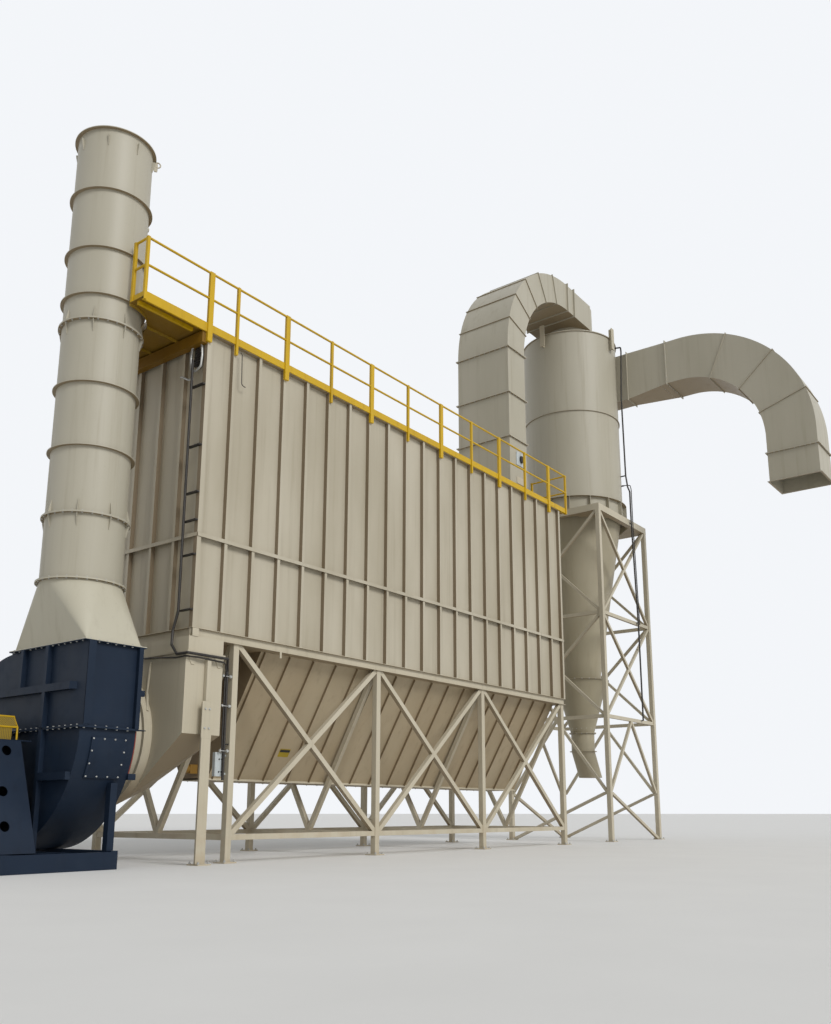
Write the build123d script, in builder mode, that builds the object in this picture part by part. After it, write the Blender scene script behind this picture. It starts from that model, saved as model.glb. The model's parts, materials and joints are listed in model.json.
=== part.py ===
# Baghouse dust collector with its exhaust fan, stack and knock-out cyclone.
# Millimetres. X runs from the fan end to the cyclone end, Y from front to back, Z up.
# The origin is the underside of the first front column's base plate.
import os
from math import atan2, cos, degrees, hypot, pi, radians, sin, sqrt

from build123d import *

os.makedirs("parts", exist_ok=True)

# Housing of the filter unit
panel_pitch = 609.6
long_panels = 20
end_panels = 6
beam_underside = 3510.0
beam_height = 150.0
beam_flange = 64.0
beam_web = 8.0
wall_top = 8770.0
roof_depth = 35.0
roof_rim = 100.0
band_level = 5190.0
band_height = 60.0
band_proud = 14.0
band_gauge = 8.0
sheet = 6.0
rib_depth = 82.0
rib_width = 64.0
rib_gauge = 6.0
roof_hatch_side = 1050.0
roof_hatch_height = 70.0
roof_hatch_pitch = 1300.0
roof_hatch_count = 7

# Support frame
column_size = 120.0
column_corner = 10.0
first_column_inset = 980.0
column_face_inset = 40.0
column_bays = 3
column_pitch = 3700.0
base_plate = 260.0
plate_thickness = 20.0
girt_height = 400.0
girt_size = 90.0
brace_size = 90.0
seat_gap = 0.3

# Hopper under the housing
hopper_near_inset = 1700.0
hopper_rib_shift = 50.0
hopper_far_inset = 260.0
hopper_bottom = 1380.0
hopper_floor_width = 740.0
hopper_top_inset = 225.0
hopper_rib_depth = 50.0
hopper_rib_width = 10.0
hopper_flange = 45.0
drive_box = 160.0
drive_radius = 75.0
drive_length = 110.0

# Roof edge railing
rail_tube = 42.0
rail_height = 1070.0
mid_rail_height = 570.0
toe_height = 105.0
toe_plate = 8.0
rail_post_size = 50.0
post_drop = 190.0
far_return = 1070.0
far_ledge = 350.0
platform_reach = 1350.0
platform_beam = 200.0
platform_joists = 4
ledge_joists = 7
stringer_size = 50.0
platform_width = 2150.0
notch_radius = 700.0
platform_beam_width = 120.0
deck_plate = 8.0

# Exhaust fan
fan_near_side = 1810.0
fan_far_side = 880.0
fan_front_inset = 60.0
fan_outlet_depth = 1890.0
fan_outlet_top = 3185.0
fan_flange = 60.0
fan_flange_gauge = 12.0
shaft_height = 1966.0
volute_top = 1140.0
volute_back = 1420.0
split_gauge = 14.0
fan_rim = 70.0
fan_bar = 75.0
fan_long_bar = 800.0
fan_short_bar = 1470.0
fan_arm_low = 1230.0
fan_arm_high = 2500.0
fan_arm_depth = 110.0
fan_arm_share = 0.8
fan_arm_taper = 150.0
hatch_gauge = 22.0
fan_hatch_near = -2590.0
fan_hatch_far = -2010.0
fan_hatch_low = 1260.0
fan_hatch_high = 1830.0
fan_hatch_span = 700.0
fan_frame_height = 240.0
fan_frame_channel = 110.0
fan_frame_front = 180.0
fan_frame_margin = 435.0
fan_post = 110.0
fan_post_front = 60.0
fan_post_top = 1200.0
fan_frame_overhang = 200.0
pedestal_far = -3040.0
pedestal_length = 650.0
pedestal_top = 1800.0
pedestal_half = 720.0
pedestal_foot = 1350.0
pedestal_plate_gauge = 16.0
pedestal_hole = 70.0
pedestal_hole_places = [(400.0, 600.0), (365.0, 1070.0), (235.0, 1640.0)]
bearing_inset = 30.0
bearing_length = 150.0
bearing_radius = 150.0
bearing_foot = 225.0
guard_end_gap = 110.0
guard_lap = 20.0
guard_half = 640.0
guard_eave = 1985.0
guard_top = 2150.0
guard_slope = 110.0
guard_sheet = 4.0
shaft_clearance = 15.0
shaft_radius = 60.0
coupling_length = 240.0
motor_length = 950.0
motor_radius = 330.0
motor_foot = 40.0
motor_chamfer = 60.0
motor_box_reach = 460.0
motor_box_length = 240.0

# Stack
stack_inset = 1360.0
stack_offset = 1030.0
stack_radius = 610.0
stack_wall = 8.0
stack_ring = 58.0
transition_facets = 96
ring_gauge = 14.0
stack_bottom = 4195.0
stack_joints = [5216.0, 8420.0]
stack_top = 11900.0
middle_rings = [6282.0, 7337.0]
upper_rings = [8850.0, 9680.0, 10750.0]
sampling_ports = [10780.0, 9300.0]
port_radius = 50.0
port_length = 130.0

# Plenum between the housing and the fan
neck_overhang = 50.0
neck_depth = 710.0
neck_bottom = 3240.0
collar_flange = 60.0
collar_gauge = 30.0
hood_overhang = 90.0
hood_panel_bottom = 1980.0
hood_belly_bottom = 1150.0
inlet_ring_radius = 1100.0
hood_facets = 72
inlet_ring_setback = 150.0
inlet_ring_depth = 90.0
fan_eye_radius = 720.0
seal_length = 40.0
plenum_leg = 120.0
plenum_leg_top = 80.0
plenum_leg_joint = 2480.0
plenum_leg_centre = 325.0

# Crossover duct
duct_wall = 6.0
duct_flange_gauge = 14.0
crossover_width = 1700.0
crossover_depth = 890.0
crossover_flange = 50.0
riser_far_inset = 0.0
riser_joints = [10910.0, 12220.0]
riser_top = 13600.0
elbow_inner_radius = 2780.0
crossover_ribs = 5
rib_share = 0.6
crossover_spool = 430.0

# Cyclone
cyclone_offset = 4400.0
cyclone_radius = 1520.0
cyclone_wall = 8.0
barrel_bottom = 10260.0
barrel_top = 15840.0
barrel_ring = 13100.0
barrel_rim = 35.0
barrel_flange = 120.0
cone_bottom = 3150.0
cone_bottom_radius = 350.0
cone_flange = 60.0
cone_joint = 4750.0
cone_joint_radius = 596.0
cone_foot_radius = 800.0
drum_radius = 800.0
roof_gauge = 12.0
can_height = 560.0
chute_height = 760.0
chute_shift = 420.0
gusset_count = 16

# Tower
tower_margin = 150.0
tower_leg = 130.0
tower_girts = [3470.0, 6490.0]
tower_top = 9590.0
tower_beam = 200.0
tower_beam_width = 170.0
corner_gap = 30.0
tower_girt_size = 100.0
tower_brace = 76.0
tower_knee = 1350.0

# Inlet duct with its long elbow
inlet_width = 620.0
inlet_inset = 350.0
inlet_mouth_height = 1600.0
inlet_mouth_bottom = 13880.0
inlet_collar_end = -90.0
inlet_joint = -1400.0
gooseneck_depth = 1410.0
gooseneck_width = 1280.0
gooseneck_inner_radius = 2530.0
gooseneck_centre_y = -1770.0
gooseneck_centre_z = 11520.0
gooseneck_joint = 11000.0
gooseneck_mouth = 10120.0
gooseneck_rib_angles = [113.6, 137.7, 161.9]
inlet_root = 140.0

# Conduit and switch box
conduit_radius = 22.0
conduit_standoff = 60.0
conduit_inset = 265.0
conduit_top = 8300.0
conduit_clip_levels = [3930.0, 4840.0, 5420.0, 5900.0, 6720.0, 7800.0]
conduit_low_level = 3215.0
conduit_bend = [(-1085.0, 240.0, 3620.0), (-1125.0, 200.0, 3380.0), (-1125.0, 60.0, 3215.0)]
conduit_front = -205.0
conduit_corner_x = -310.0
conduit_drop_x = -155.0
conduit_drop_y = -30.0
conduit_drop_top = 3050.0
conduit_drop_bottom = 1290.0
drop_clip_levels = [2970.0, 2480.0, 1850.0]
box_width = 170.0
box_front = 0.0
box_depth = 60.0
box_bottom = 1350.0
box_height = 380.0
box_gap = 70.0
box_rail = 30.0


# Places that follow from the sizes above
housing_length = long_panels * panel_pitch
housing_width = end_panels * panel_pitch
near_end = -first_column_inset
far_end = near_end + housing_length
front_face = -column_face_inset - column_size / 2
rear_face = front_face + housing_width
mid_x = (near_end + far_end) / 2
mid_y = (front_face + rear_face) / 2
wall_bottom = beam_underside + beam_height
wall_height = wall_top - wall_bottom
roof_level = wall_top + roof_depth
column_rows = [0.0, 2 * mid_y]
column_places = [column_pitch * i for i in range(column_bays + 1)]
riser_x = far_end - riser_far_inset - crossover_depth / 2
elbow_centre_x = riser_x + crossover_depth / 2 + elbow_inner_radius
elbow_centre_z = riser_top
crossover_z = elbow_centre_z + elbow_inner_radius + crossover_depth / 2
cyclone_x = far_end + cyclone_offset
fan_near = near_end - fan_near_side
fan_far = near_end - fan_far_side
fan_front = front_face + fan_front_inset
pedestal_near = pedestal_far - pedestal_length
motor_far = pedestal_near - coupling_length
stack_x = near_end - stack_inset
stack_y = front_face + stack_offset
transition_bottom = fan_outlet_top + fan_flange_gauge
tower_size = 2 * (cyclone_radius + tower_margin)


def box_between(low, high):
    """A box given by its lowest and highest corners."""
    size = [b - a for a, b in zip(low, high)]
    middle = [(a + b) / 2 for a, b in zip(low, high)]
    with Locations(tuple(middle)):
        Box(*size)


def crossed_bars(plane, low, high, size):
    """Two bars from corner to corner of a clear bay, the falling one cut to pass the other."""
    width = high[0] - low[0]
    height = high[1] - low[1]
    middle = ((low[0] + high[0]) / 2, (low[1] + high[1]) / 2)
    length = hypot(width, height)
    slope = degrees(atan2(height, width))
    shift = (size + seat_gap) / 2
    across = (-shift * height / length, shift * width / length)
    with BuildPart() as bars:
        with BuildSketch(plane):
            with Locations(middle):
                Rectangle(length, size, rotation=slope)
                Rectangle(length, size, rotation=-slope)
                Rectangle(width - 2 * seat_gap, height - 2 * seat_gap, mode=Mode.INTERSECT)
            for way in (-1, 1):
                with Locations((middle[0] + way * across[0], middle[1] + way * across[1])):
                    Rectangle(3 * size, seat_gap, rotation=slope, mode=Mode.SUBTRACT)
        extrude(amount=size / 2, both=True)
    return bars.part


def single_bar(plane, low, high, size, rising):
    """One bar from corner to corner of a clear rectangle."""
    width = high[0] - low[0]
    height = high[1] - low[1]
    slope = degrees(atan2(height, width))
    with BuildPart() as bar:
        with BuildSketch(plane):
            with Locations(((low[0] + high[0]) / 2, (low[1] + high[1]) / 2)):
                Rectangle(hypot(width, height), size, rotation=slope if rising else -slope)
                Rectangle(width - 2 * seat_gap, height - 2 * seat_gap, mode=Mode.INTERSECT)
        extrude(amount=size / 2, both=True)
    return bar.part


def frame_ring(plane, width, depth, reach, gauge):
    """A flat frame round a rectangular duct."""
    with BuildPart() as ring:
        with BuildSketch(plane):
            Rectangle(width + 2 * reach, depth + 2 * reach)
            Rectangle(width - duct_wall, depth - duct_wall, mode=Mode.SUBTRACT)
        extrude(amount=gauge)
    return ring.part


def bare_duct(plane, width, depth, length):
    """A straight rectangular duct without flanges."""
    with BuildPart() as run:
        with BuildSketch(plane):
            Rectangle(width, depth)
            Rectangle(width - 2 * duct_wall, depth - 2 * duct_wall, mode=Mode.SUBTRACT)
        extrude(amount=length)
    return run.part


def duct_run(plane, width, depth, length, reach):
    """A straight rectangular duct with a flange at both ends."""
    with BuildPart() as run:
        add(bare_duct(plane, width, depth, length))
        add(frame_ring(plane, width, depth, reach, duct_flange_gauge))
        add(frame_ring(plane.offset(length - duct_flange_gauge), width, depth, reach, duct_flange_gauge))
    return run.part


def rectangle_outline(low, high):
    """The corners of a rectangle between two of them, counterclockwise."""
    return [low, (high[0], low[1]), high, (low[0], high[1])]


def round_outline(centre, radius, sides):
    """Points of a circle, counterclockwise."""
    angles = [2 * pi * i / sides for i in range(sides)]
    return [(centre[0] + radius * cos(a), centre[1] + radius * sin(a)) for a in angles]


def hull_outline(points):
    """The points on the outside of a flat cloud, counterclockwise."""
    ordered = sorted(set(points))
    chains = []
    for line in (ordered, ordered[::-1]):
        chain = []
        for p in line:
            while len(chain) > 1 and turn(chain[-2], chain[-1], p) <= 0:
                chain.pop()
            chain.append(p)
        chains.append(chain[:-1])
    return chains[0] + chains[1]


def turn(a, b, c):
    return (b[0] - a[0]) * (c[1] - a[1]) - (b[1] - a[1]) * (c[0] - a[0])


def edge_angles(outline):
    """Each edge of a counterclockwise outline with its direction, sorted by direction."""
    edges_round = []
    for i, a in enumerate(outline):
        b = outline[(i + 1) % len(outline)]
        edges_round.append((atan2(b[1] - a[1], b[0] - a[0]) % (2 * pi), a, b))
    return sorted(edges_round)


def stretched_solid(plane, first, second, distance):
    """The flat-sided solid between two outlines in parallel planes, as a sheet stretched over both."""
    low = edge_angles(first)
    high = edge_angles(second)
    far = plane.offset(distance)
    at_low = low[0][1]
    at_high = high[0][1]
    sides = []
    i = 0
    j = 0
    while i < len(low) or j < len(high):
        if j == len(high) or (i < len(low) and low[i][0] <= high[j][0]):
            corners = (low[i][1], low[i][2])
            sides.append([plane.from_local_coords(p) for p in corners] + [far.from_local_coords(at_high)])
            at_low = corners[1]
            i += 1
        else:
            corners = (high[j][2], high[j][1])
            sides.append([far.from_local_coords(p) for p in corners] + [plane.from_local_coords(at_low)])
            at_high = corners[0]
            j += 1
    ends = [[plane.from_local_coords(p) for p in first[::-1]], [far.from_local_coords(p) for p in second]]
    faces = [Face(Wire.make_polygon(corners)) for corners in sides + ends]
    return Solid(Shell(faces))


def round_ring(centre, radius, reach, bottom, gauge):
    """A flat ring round an upright shell."""
    with BuildPart() as ring:
        with BuildSketch(Plane.XY.offset(bottom)):
            with Locations(centre):
                Circle(radius + reach)
                Circle(radius, mode=Mode.SUBTRACT)
        extrude(amount=gauge)
    return ring.part


def round_shell(centre, radius, wall, bottom, top, ring_reach, ring_bottoms):
    """An upright round shell with flat rings at the given levels."""
    with BuildPart() as shell:
        with BuildSketch(Plane.XY.offset(bottom)):
            with Locations(centre):
                Circle(radius)
                Circle(radius - wall, mode=Mode.SUBTRACT)
        extrude(amount=top - bottom)
        for level in ring_bottoms:
            add(round_ring(centre, radius, ring_reach, level, ring_gauge))
    return shell.part


# Housing walls: sheet, box-folded stiffeners, corner posts and one angle band
def long_wall(side):
    face = mid_y + side * housing_width / 2
    length = housing_length - 2 * rib_depth
    reach = rib_depth + band_proud
    with BuildPart() as wall:
        with BuildSketch(Plane.XY.offset(wall_bottom)):
            with Locations((mid_x, face - side * rib_depth / 2)):
                with GridLocations(panel_pitch, 0, long_panels - 1, 1):
                    Rectangle(rib_width, rib_depth)
                with GridLocations(housing_length - rib_depth, 0, 2, 1):
                    Rectangle(rib_depth, rib_depth)
            with Locations((mid_x, face - side * (rib_depth + rib_gauge) / 2)):
                with GridLocations(panel_pitch, 0, long_panels - 1, 1):
                    Rectangle(rib_width - 2 * rib_gauge, rib_depth - rib_gauge, mode=Mode.SUBTRACT)
            with Locations((mid_x, face - side * (rib_depth + sheet / 2))):
                Rectangle(housing_length, sheet)
        extrude(amount=wall_height)
        with Locations((mid_x, face + side * (band_proud - reach / 2), band_level + band_height / 2)):
            Box(length, reach, band_gauge)
        with Locations((mid_x, face + side * (band_proud - band_gauge / 2), band_level)):
            Box(housing_length, band_gauge, band_height)
    return wall.part


def end_wall(side):
    face = mid_x + side * housing_length / 2
    width = housing_width - 2 * (rib_depth + sheet)
    reach = rib_depth + band_proud
    with BuildPart() as wall:
        with BuildSketch(Plane.XY.offset(wall_bottom)):
            with Locations((face - side * rib_depth / 2, mid_y)):
                with GridLocations(0, panel_pitch, 1, end_panels - 1):
                    Rectangle(rib_depth, rib_width)
            with Locations((face - side * (rib_depth + rib_gauge) / 2, mid_y)):
                with GridLocations(0, panel_pitch, 1, end_panels - 1):
                    Rectangle(rib_depth - rib_gauge, rib_width - 2 * rib_gauge, mode=Mode.SUBTRACT)
            with Locations((face - side * (rib_depth + sheet / 2), mid_y)):
                Rectangle(sheet, width)
        extrude(amount=wall_height)
        with Locations((face + side * (band_proud - reach / 2), mid_y, band_level + band_height / 2)):
            Box(reach, width, band_gauge)
        with Locations((face + side * (band_proud - band_gauge / 2), mid_y, band_level)):
            Box(band_gauge, housing_width, band_height)
    return wall.part


front_wall = long_wall(-1)
rear_wall = long_wall(1)
near_end_wall = end_wall(-1)
far_end_wall = end_wall(1)

# Roof plate with a folded edge, resting on the walls
with BuildPart() as roof:
    with BuildSketch(Plane.XY.offset(wall_top)):
        with Locations((mid_x, mid_y)):
            Rectangle(housing_length, housing_width)
            Rectangle(housing_length - 2 * roof_rim, housing_width - 2 * roof_rim, mode=Mode.SUBTRACT)
    extrude(amount=roof_depth)
    box_between((near_end, front_face, roof_level - sheet), (far_end, rear_face, roof_level))

# Lift-off hatches over the filter cells
with BuildPart() as roof_hatches:
    first_hatch = near_end + (roof_hatch_count + 1) * roof_hatch_pitch / 2
    with BuildSketch(Plane.XY.offset(roof_level)):
        with Locations((first_hatch, mid_y)):
            with GridLocations(roof_hatch_pitch, roof_hatch_side + panel_pitch / 2, roof_hatch_count, 2):
                RectangleRounded(roof_hatch_side, roof_hatch_side, ring_gauge)
    extrude(amount=roof_hatch_height)

# Channel beam round the bottom of the housing, flanges outward, with a ledge that carries the hopper
with BuildPart() as perimeter_beam:
    reach = rib_depth + sheet
    end_span = housing_width - 2 * reach - 2 * seat_gap
    ledge_length = housing_length - 2 * (reach + seat_gap)
    ledge_depth = hopper_top_inset + 2 * sheet
    beam_middle = beam_underside + beam_height / 2
    for side in (-1, 1):
        face_y = mid_y + side * housing_width / 2
        face_x = mid_x + side * housing_length / 2
        with Locations((mid_x, face_y - side * (beam_flange - beam_web / 2), beam_middle)):
            Box(housing_length, beam_web, beam_height)
        with Locations((face_x - side * (beam_flange - beam_web / 2), mid_y, beam_middle)):
            Box(beam_web, end_span, beam_height)
        for level in (beam_underside + beam_web / 2, wall_bottom - beam_web / 2):
            with Locations((mid_x, face_y - side * reach / 2, level)):
                Box(housing_length, reach, beam_web)
            with Locations((face_x - side * reach / 2, mid_y, level)):
                Box(reach, end_span, beam_web)
        with Locations((mid_x, face_y - side * ledge_depth / 2, beam_underside + beam_web / 2)):
            Box(ledge_length, ledge_depth, beam_web)

# Columns and bracing of the frame
leg_x = near_end + plenum_leg_centre


with BuildPart() as frame_columns:
    with BuildSketch(Plane.XY.offset(plate_thickness)):
        with Locations(*[(x, y) for x in column_places for y in column_rows]):
            RectangleRounded(column_size, column_size, column_corner)
    extrude(amount=beam_underside - plate_thickness)


def row_bracing(y):
    """Bottom girt and crossed bars in each bay of one row."""
    low = girt_height - girt_size / 2
    high = girt_height + girt_size / 2
    with BuildPart() as bracing:
        for start in column_places[:-1]:
            left = start + column_size / 2
            right = start + column_pitch - column_size / 2
            box_between(
                (left + seat_gap, y - girt_size / 2, low),
                (right - seat_gap, y + girt_size / 2, high),
            )
            add(crossed_bars(Plane.XZ.offset(-y), (left, high), (right, beam_underside), brace_size))
    return bracing.part


front_bracing = row_bracing(column_rows[0])
rear_bracing = row_bracing(column_rows[1])

# V bracing across the frame at each pair of columns
with BuildPart() as cross_bracing:
    inner_front = column_rows[0] + column_size / 2
    inner_rear = column_rows[1] - column_size / 2
    low = girt_height - girt_size / 2
    high = girt_height + girt_size / 2
    for x in column_places:
        plane = Plane.YZ.offset(x)
        box_between(
            (x - girt_size / 2, inner_front + seat_gap, low),
            (x + girt_size / 2, inner_rear - seat_gap, high),
        )
        add(single_bar(plane, (inner_front, high), (mid_y, beam_underside), brace_size, False))
        add(single_bar(plane, (mid_y, high), (inner_rear, beam_underside), brace_size, True))

# Trough hopper
hopper_near = near_end + hopper_near_inset
hopper_far = far_end - hopper_far_inset
hopper_run = hopper_far - hopper_near
slope_top = housing_width / 2 - hopper_top_inset
slope_foot = hopper_floor_width / 2
slope_length = hypot(slope_top - slope_foot, beam_underside - hopper_bottom)
out_y = (beam_underside - hopper_bottom) / slope_length
out_z = (slope_top - slope_foot) / slope_length


def slope_plate(side, inner, outer):
    """Outline of a plate along the slope, between two distances outside its line."""
    points = [
        (slope_foot + inner * out_y, hopper_bottom - inner * out_z),
        (slope_foot + outer * out_y, hopper_bottom - outer * out_z),
        (slope_top + outer * out_y, beam_underside - outer * out_z),
        (slope_top + inner * out_y, beam_underside - inner * out_z),
    ]
    Polygon(*[(mid_y + side * y, z) for y, z in points], align=None)


def hopper_slope(side):
    first = near_end + panel_pitch * (int(hopper_near_inset / panel_pitch) + 1) - hopper_rib_shift
    count = int((hopper_far - first) / panel_pitch) + 1
    with BuildPart() as slope:
        with BuildSketch(Plane.YZ.offset(hopper_near)):
            slope_plate(side, -sheet, 0)
        extrude(amount=hopper_run)
        for i in range(count):
            with BuildSketch(Plane.YZ.offset(first + panel_pitch * i - hopper_rib_width / 2)):
                slope_plate(side, 0, hopper_rib_depth)
            extrude(amount=hopper_rib_width)
        with Locations((hopper_near + hopper_run / 2, mid_y, beam_underside + beam_height / 2)):
            Box(hopper_run, 2 * housing_width, beam_height, mode=Mode.SUBTRACT)
    return slope.part


hopper_front_slope = hopper_slope(-1)
hopper_rear_slope = hopper_slope(1)

with BuildPart() as hopper_ends:
    foot = slope_foot - sheet / out_y - seat_gap
    head = slope_top - sheet / out_y - seat_gap
    low_z = hopper_bottom
    high_z = beam_underside
    outline = [(-foot, low_z), (foot, low_z), (head, high_z), (-head, high_z)]
    for x in (hopper_near, hopper_far - sheet):
        with BuildSketch(Plane.YZ.offset(x)):
            Polygon(*[(mid_y + y, z) for y, z in outline], align=None)
        extrude(amount=sheet)
    floor_low = beam_underside + seat_gap
    inset = ledge_depth + seat_gap
    for low_x, high_x in (
        (near_end + reach + seat_gap, hopper_near + sheet),
        (hopper_far - sheet, far_end - reach - seat_gap),
    ):
        box_between((low_x, front_face + inset, floor_low), (high_x, rear_face - inset, floor_low + sheet))

# Flanged floor that closes the screw trough, and the screw's geared drive at the near end
trough_top = hopper_bottom - hopper_rib_depth * out_z
with BuildPart() as screw_trough:
    half = slope_foot + hopper_flange
    box_between((hopper_near, mid_y - half, trough_top - ring_gauge), (hopper_far, mid_y + half, trough_top))
    for side in (-1, 1):
        inner = sorted([mid_y + side * slope_foot, mid_y + side * (slope_foot - hopper_flange)])
        box_between((hopper_near, inner[0], trough_top), (hopper_far, inner[1], hopper_bottom))

with BuildPart() as screw_drive:
    drive_z = hopper_bottom + drive_box
    with Locations((hopper_near - drive_box / 2, mid_y, drive_z)):
        Box(drive_box, drive_box, drive_box)
    with BuildSketch(Plane.YZ.offset(hopper_near - drive_box)):
        with Locations((mid_y, drive_z)):
            Circle(drive_radius)
    extrude(amount=-drive_length)

# Plenum between the housing and the fan
with BuildPart() as plenum_neck:
    neck_x = near_end - neck_overhang
    box_between((neck_x, front_face, neck_bottom), (neck_x + neck_depth, rear_face, beam_underside))
    box_between(
        (neck_x - collar_flange, front_face - collar_flange, neck_bottom),
        (neck_x + neck_depth, rear_face + collar_flange, neck_bottom + collar_gauge),
    )

ring_plane = Plane.YZ.offset(near_end - inlet_ring_setback)
with BuildPart() as fan_plenum:
    hood_near = near_end - hood_overhang
    hood_far = neck_x + neck_depth
    panel = [
        (front_face, neck_bottom),
        (front_face, hood_panel_bottom),
        (rear_face, hood_panel_bottom),
        (rear_face, neck_bottom),
    ]
    mouth = round_outline((mid_y, shaft_height), inlet_ring_radius, hood_facets)
    near_face = hull_outline(panel + mouth)
    far_face = hull_outline(panel + [(mid_y, hood_belly_bottom)])
    add(stretched_solid(Plane.YZ.offset(hood_near), near_face, far_face, hood_far - hood_near))
    with BuildSketch(ring_plane.offset(-inlet_ring_depth)):
        with Locations((mid_y, shaft_height)):
            Circle(inlet_ring_radius)
    extrude(amount=inlet_ring_depth + hood_near - near_end + inlet_ring_setback)

with BuildPart() as fan_inlet_cone:
    ring_x = near_end - inlet_ring_setback - inlet_ring_depth
    with BuildSketch(Plane.YZ.offset(ring_x)):
        with Locations((mid_y, shaft_height)):
            Circle(inlet_ring_radius - collar_flange)
    with BuildSketch(Plane.YZ.offset(fan_far + seal_length)):
        with Locations((mid_y, shaft_height)):
            Circle(fan_eye_radius)
    loft()
    with BuildSketch(Plane.YZ.offset(fan_far)):
        with Locations((mid_y, shaft_height)):
            Circle(fan_eye_radius + seal_length)
    extrude(amount=seal_length)

with BuildPart() as plenum_legs:
    for y in (front_face - plenum_leg / 2, rear_face + plenum_leg / 2):
        with BuildSketch(Plane.XY.offset(plate_thickness)):
            with Locations((leg_x, y)):
                RectangleRounded(plenum_leg, plenum_leg, column_corner)
        extrude(amount=plenum_leg_joint - plate_thickness)
        toward_wall = 1 if y < mid_y else -1
        with BuildSketch(Plane.XY.offset(plenum_leg_joint)):
            with Locations((leg_x, y + toward_wall * (plenum_leg - plenum_leg_top) / 2)):
                RectangleRounded(plenum_leg_top, plenum_leg_top, column_corner)
        extrude(amount=neck_bottom - plenum_leg_joint)

# Exhaust fan: split scroll casing, hatch, frame, pedestal, shaft, guard and motor
volute_front = mid_y - fan_front
volute_bottom = shaft_height - fan_frame_height
split_low = shaft_height - split_gauge
split_high = shaft_height + split_gauge


def scroll_outline(grow):
    """Side outline of the scroll, in Y and Z, grown outward by the given distance."""
    centre = (mid_y, shaft_height)
    quarters = [
        (volute_back, volute_top, 1, 1),
        (volute_back, volute_bottom, 1, -1),
        (volute_front, volute_bottom, -1, -1),
    ]
    reach = 2 * volute_bottom
    for across, up, side_y, side_z in quarters:
        with BuildSketch(mode=Mode.PRIVATE) as quarter:
            with Locations(centre):
                Ellipse(across + grow, up + grow)
            with Locations((centre[0] + side_y * reach / 2, centre[1] + side_z * reach / 2)):
                Rectangle(reach, reach, mode=Mode.INTERSECT)
        add(quarter.sketch_local)
    outlet_low = (fan_front - grow, shaft_height)
    outlet_high = (fan_front + fan_outlet_depth + grow, fan_outlet_top)
    with Locations(((outlet_low[0] + outlet_high[0]) / 2, (outlet_low[1] + outlet_high[1]) / 2)):
        Rectangle(outlet_high[0] - outlet_low[0], outlet_high[1] - outlet_low[1])


def scroll_half(bottom, top, rims):
    """The scroll between two levels, with angle rims at both sides or none."""
    with BuildPart() as half:
        with BuildSketch(Plane.YZ.offset(fan_near)):
            scroll_outline(0)
        extrude(amount=fan_far - fan_near)
        for start in rims:
            with BuildSketch(Plane.YZ.offset(start)):
                scroll_outline(fan_rim)
            extrude(amount=fan_rim)
        with Locations(((fan_near + fan_far) / 2, mid_y, (bottom + top) / 2)):
            Box(4 * volute_bottom, 4 * volute_bottom, top - bottom, mode=Mode.INTERSECT)
    return half.part


def split_flange(bottom):
    low = (fan_near - fan_flange, fan_front - fan_flange, bottom)
    high = (fan_far, mid_y + volute_back + fan_flange, bottom + split_gauge - seat_gap / 2)
    box_between(low, high)
    with Locations((fan_near - fan_flange / 2, mid_y, shaft_height)):
        Cylinder(shaft_radius + shaft_clearance, fan_flange, rotation=(0, 90, 0), mode=Mode.SUBTRACT)


with BuildPart() as fan_scroll_upper:
    add(scroll_half(split_high, fan_outlet_top, (fan_near, fan_far - fan_rim)))
    split_flange(shaft_height + seat_gap / 2)
    box_between(
        (fan_near - fan_flange, fan_front - fan_flange, fan_outlet_top),
        (fan_far + fan_flange, fan_front + fan_outlet_depth + fan_flange, fan_outlet_top + fan_flange_gauge),
    )
    for y, low in ((fan_long_bar, split_high), (fan_short_bar, fan_arm_high)):
        box_between((fan_near - fan_bar, y, low), (fan_near, y + fan_bar, fan_outlet_top))
    with BuildSketch(Plane.XY.offset(fan_arm_high)):
        arm = [
            (fan_near, fan_front + fan_arm_taper),
            (fan_near - fan_bar, fan_front + fan_arm_taper + fan_bar),
            (fan_near - fan_bar, mid_y + volute_back * fan_arm_share),
            (fan_near, mid_y + volute_back * fan_arm_share),
        ]
        Polygon(*arm, align=None)
    extrude(amount=fan_arm_depth)

with BuildPart() as fan_scroll_lower:
    add(scroll_half(fan_frame_height, split_low, ()))
    split_flange(split_low)
    box_between(
        (fan_near - fan_bar, fan_long_bar, fan_frame_height),
        (fan_near, fan_long_bar + fan_bar, split_low),
    )
    box_between(
        (fan_near - fan_bar, fan_front + 2 * fan_bar, fan_arm_low),
        (fan_near, fan_long_bar, fan_arm_low + fan_arm_depth),
    )

with BuildPart() as fan_hatch:
    with BuildSketch(Plane.YZ.offset(fan_hatch_near)):
        with Locations((mid_y, shaft_height)):
            Ellipse(volute_front + hatch_gauge, volute_bottom + hatch_gauge)
        with Locations((fan_front + fan_hatch_span / 2, (fan_hatch_low + fan_hatch_high) / 2)):
            Rectangle(2 * fan_hatch_span, fan_hatch_high - fan_hatch_low, mode=Mode.INTERSECT)
        with Locations((mid_y, shaft_height)):
            Ellipse(volute_front, volute_bottom, mode=Mode.SUBTRACT)
    extrude(amount=fan_hatch_far - fan_hatch_near)


with BuildPart() as fan_base_frame:
    frame_near = motor_far - motor_length - fan_frame_overhang
    frame_far = fan_far - fan_frame_front
    rear = mid_y + pedestal_foot + fan_frame_margin
    low_y = 2 * mid_y - rear
    for y in (low_y, rear - fan_frame_channel):
        box_between((frame_near, y, 0), (frame_far, y + fan_frame_channel, fan_frame_height))
    for x in (frame_near, motor_far, pedestal_near, pedestal_far, fan_near, frame_far - fan_frame_channel):
        box_between((x, low_y, 0), (x + fan_frame_channel, rear, fan_frame_height))

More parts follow.
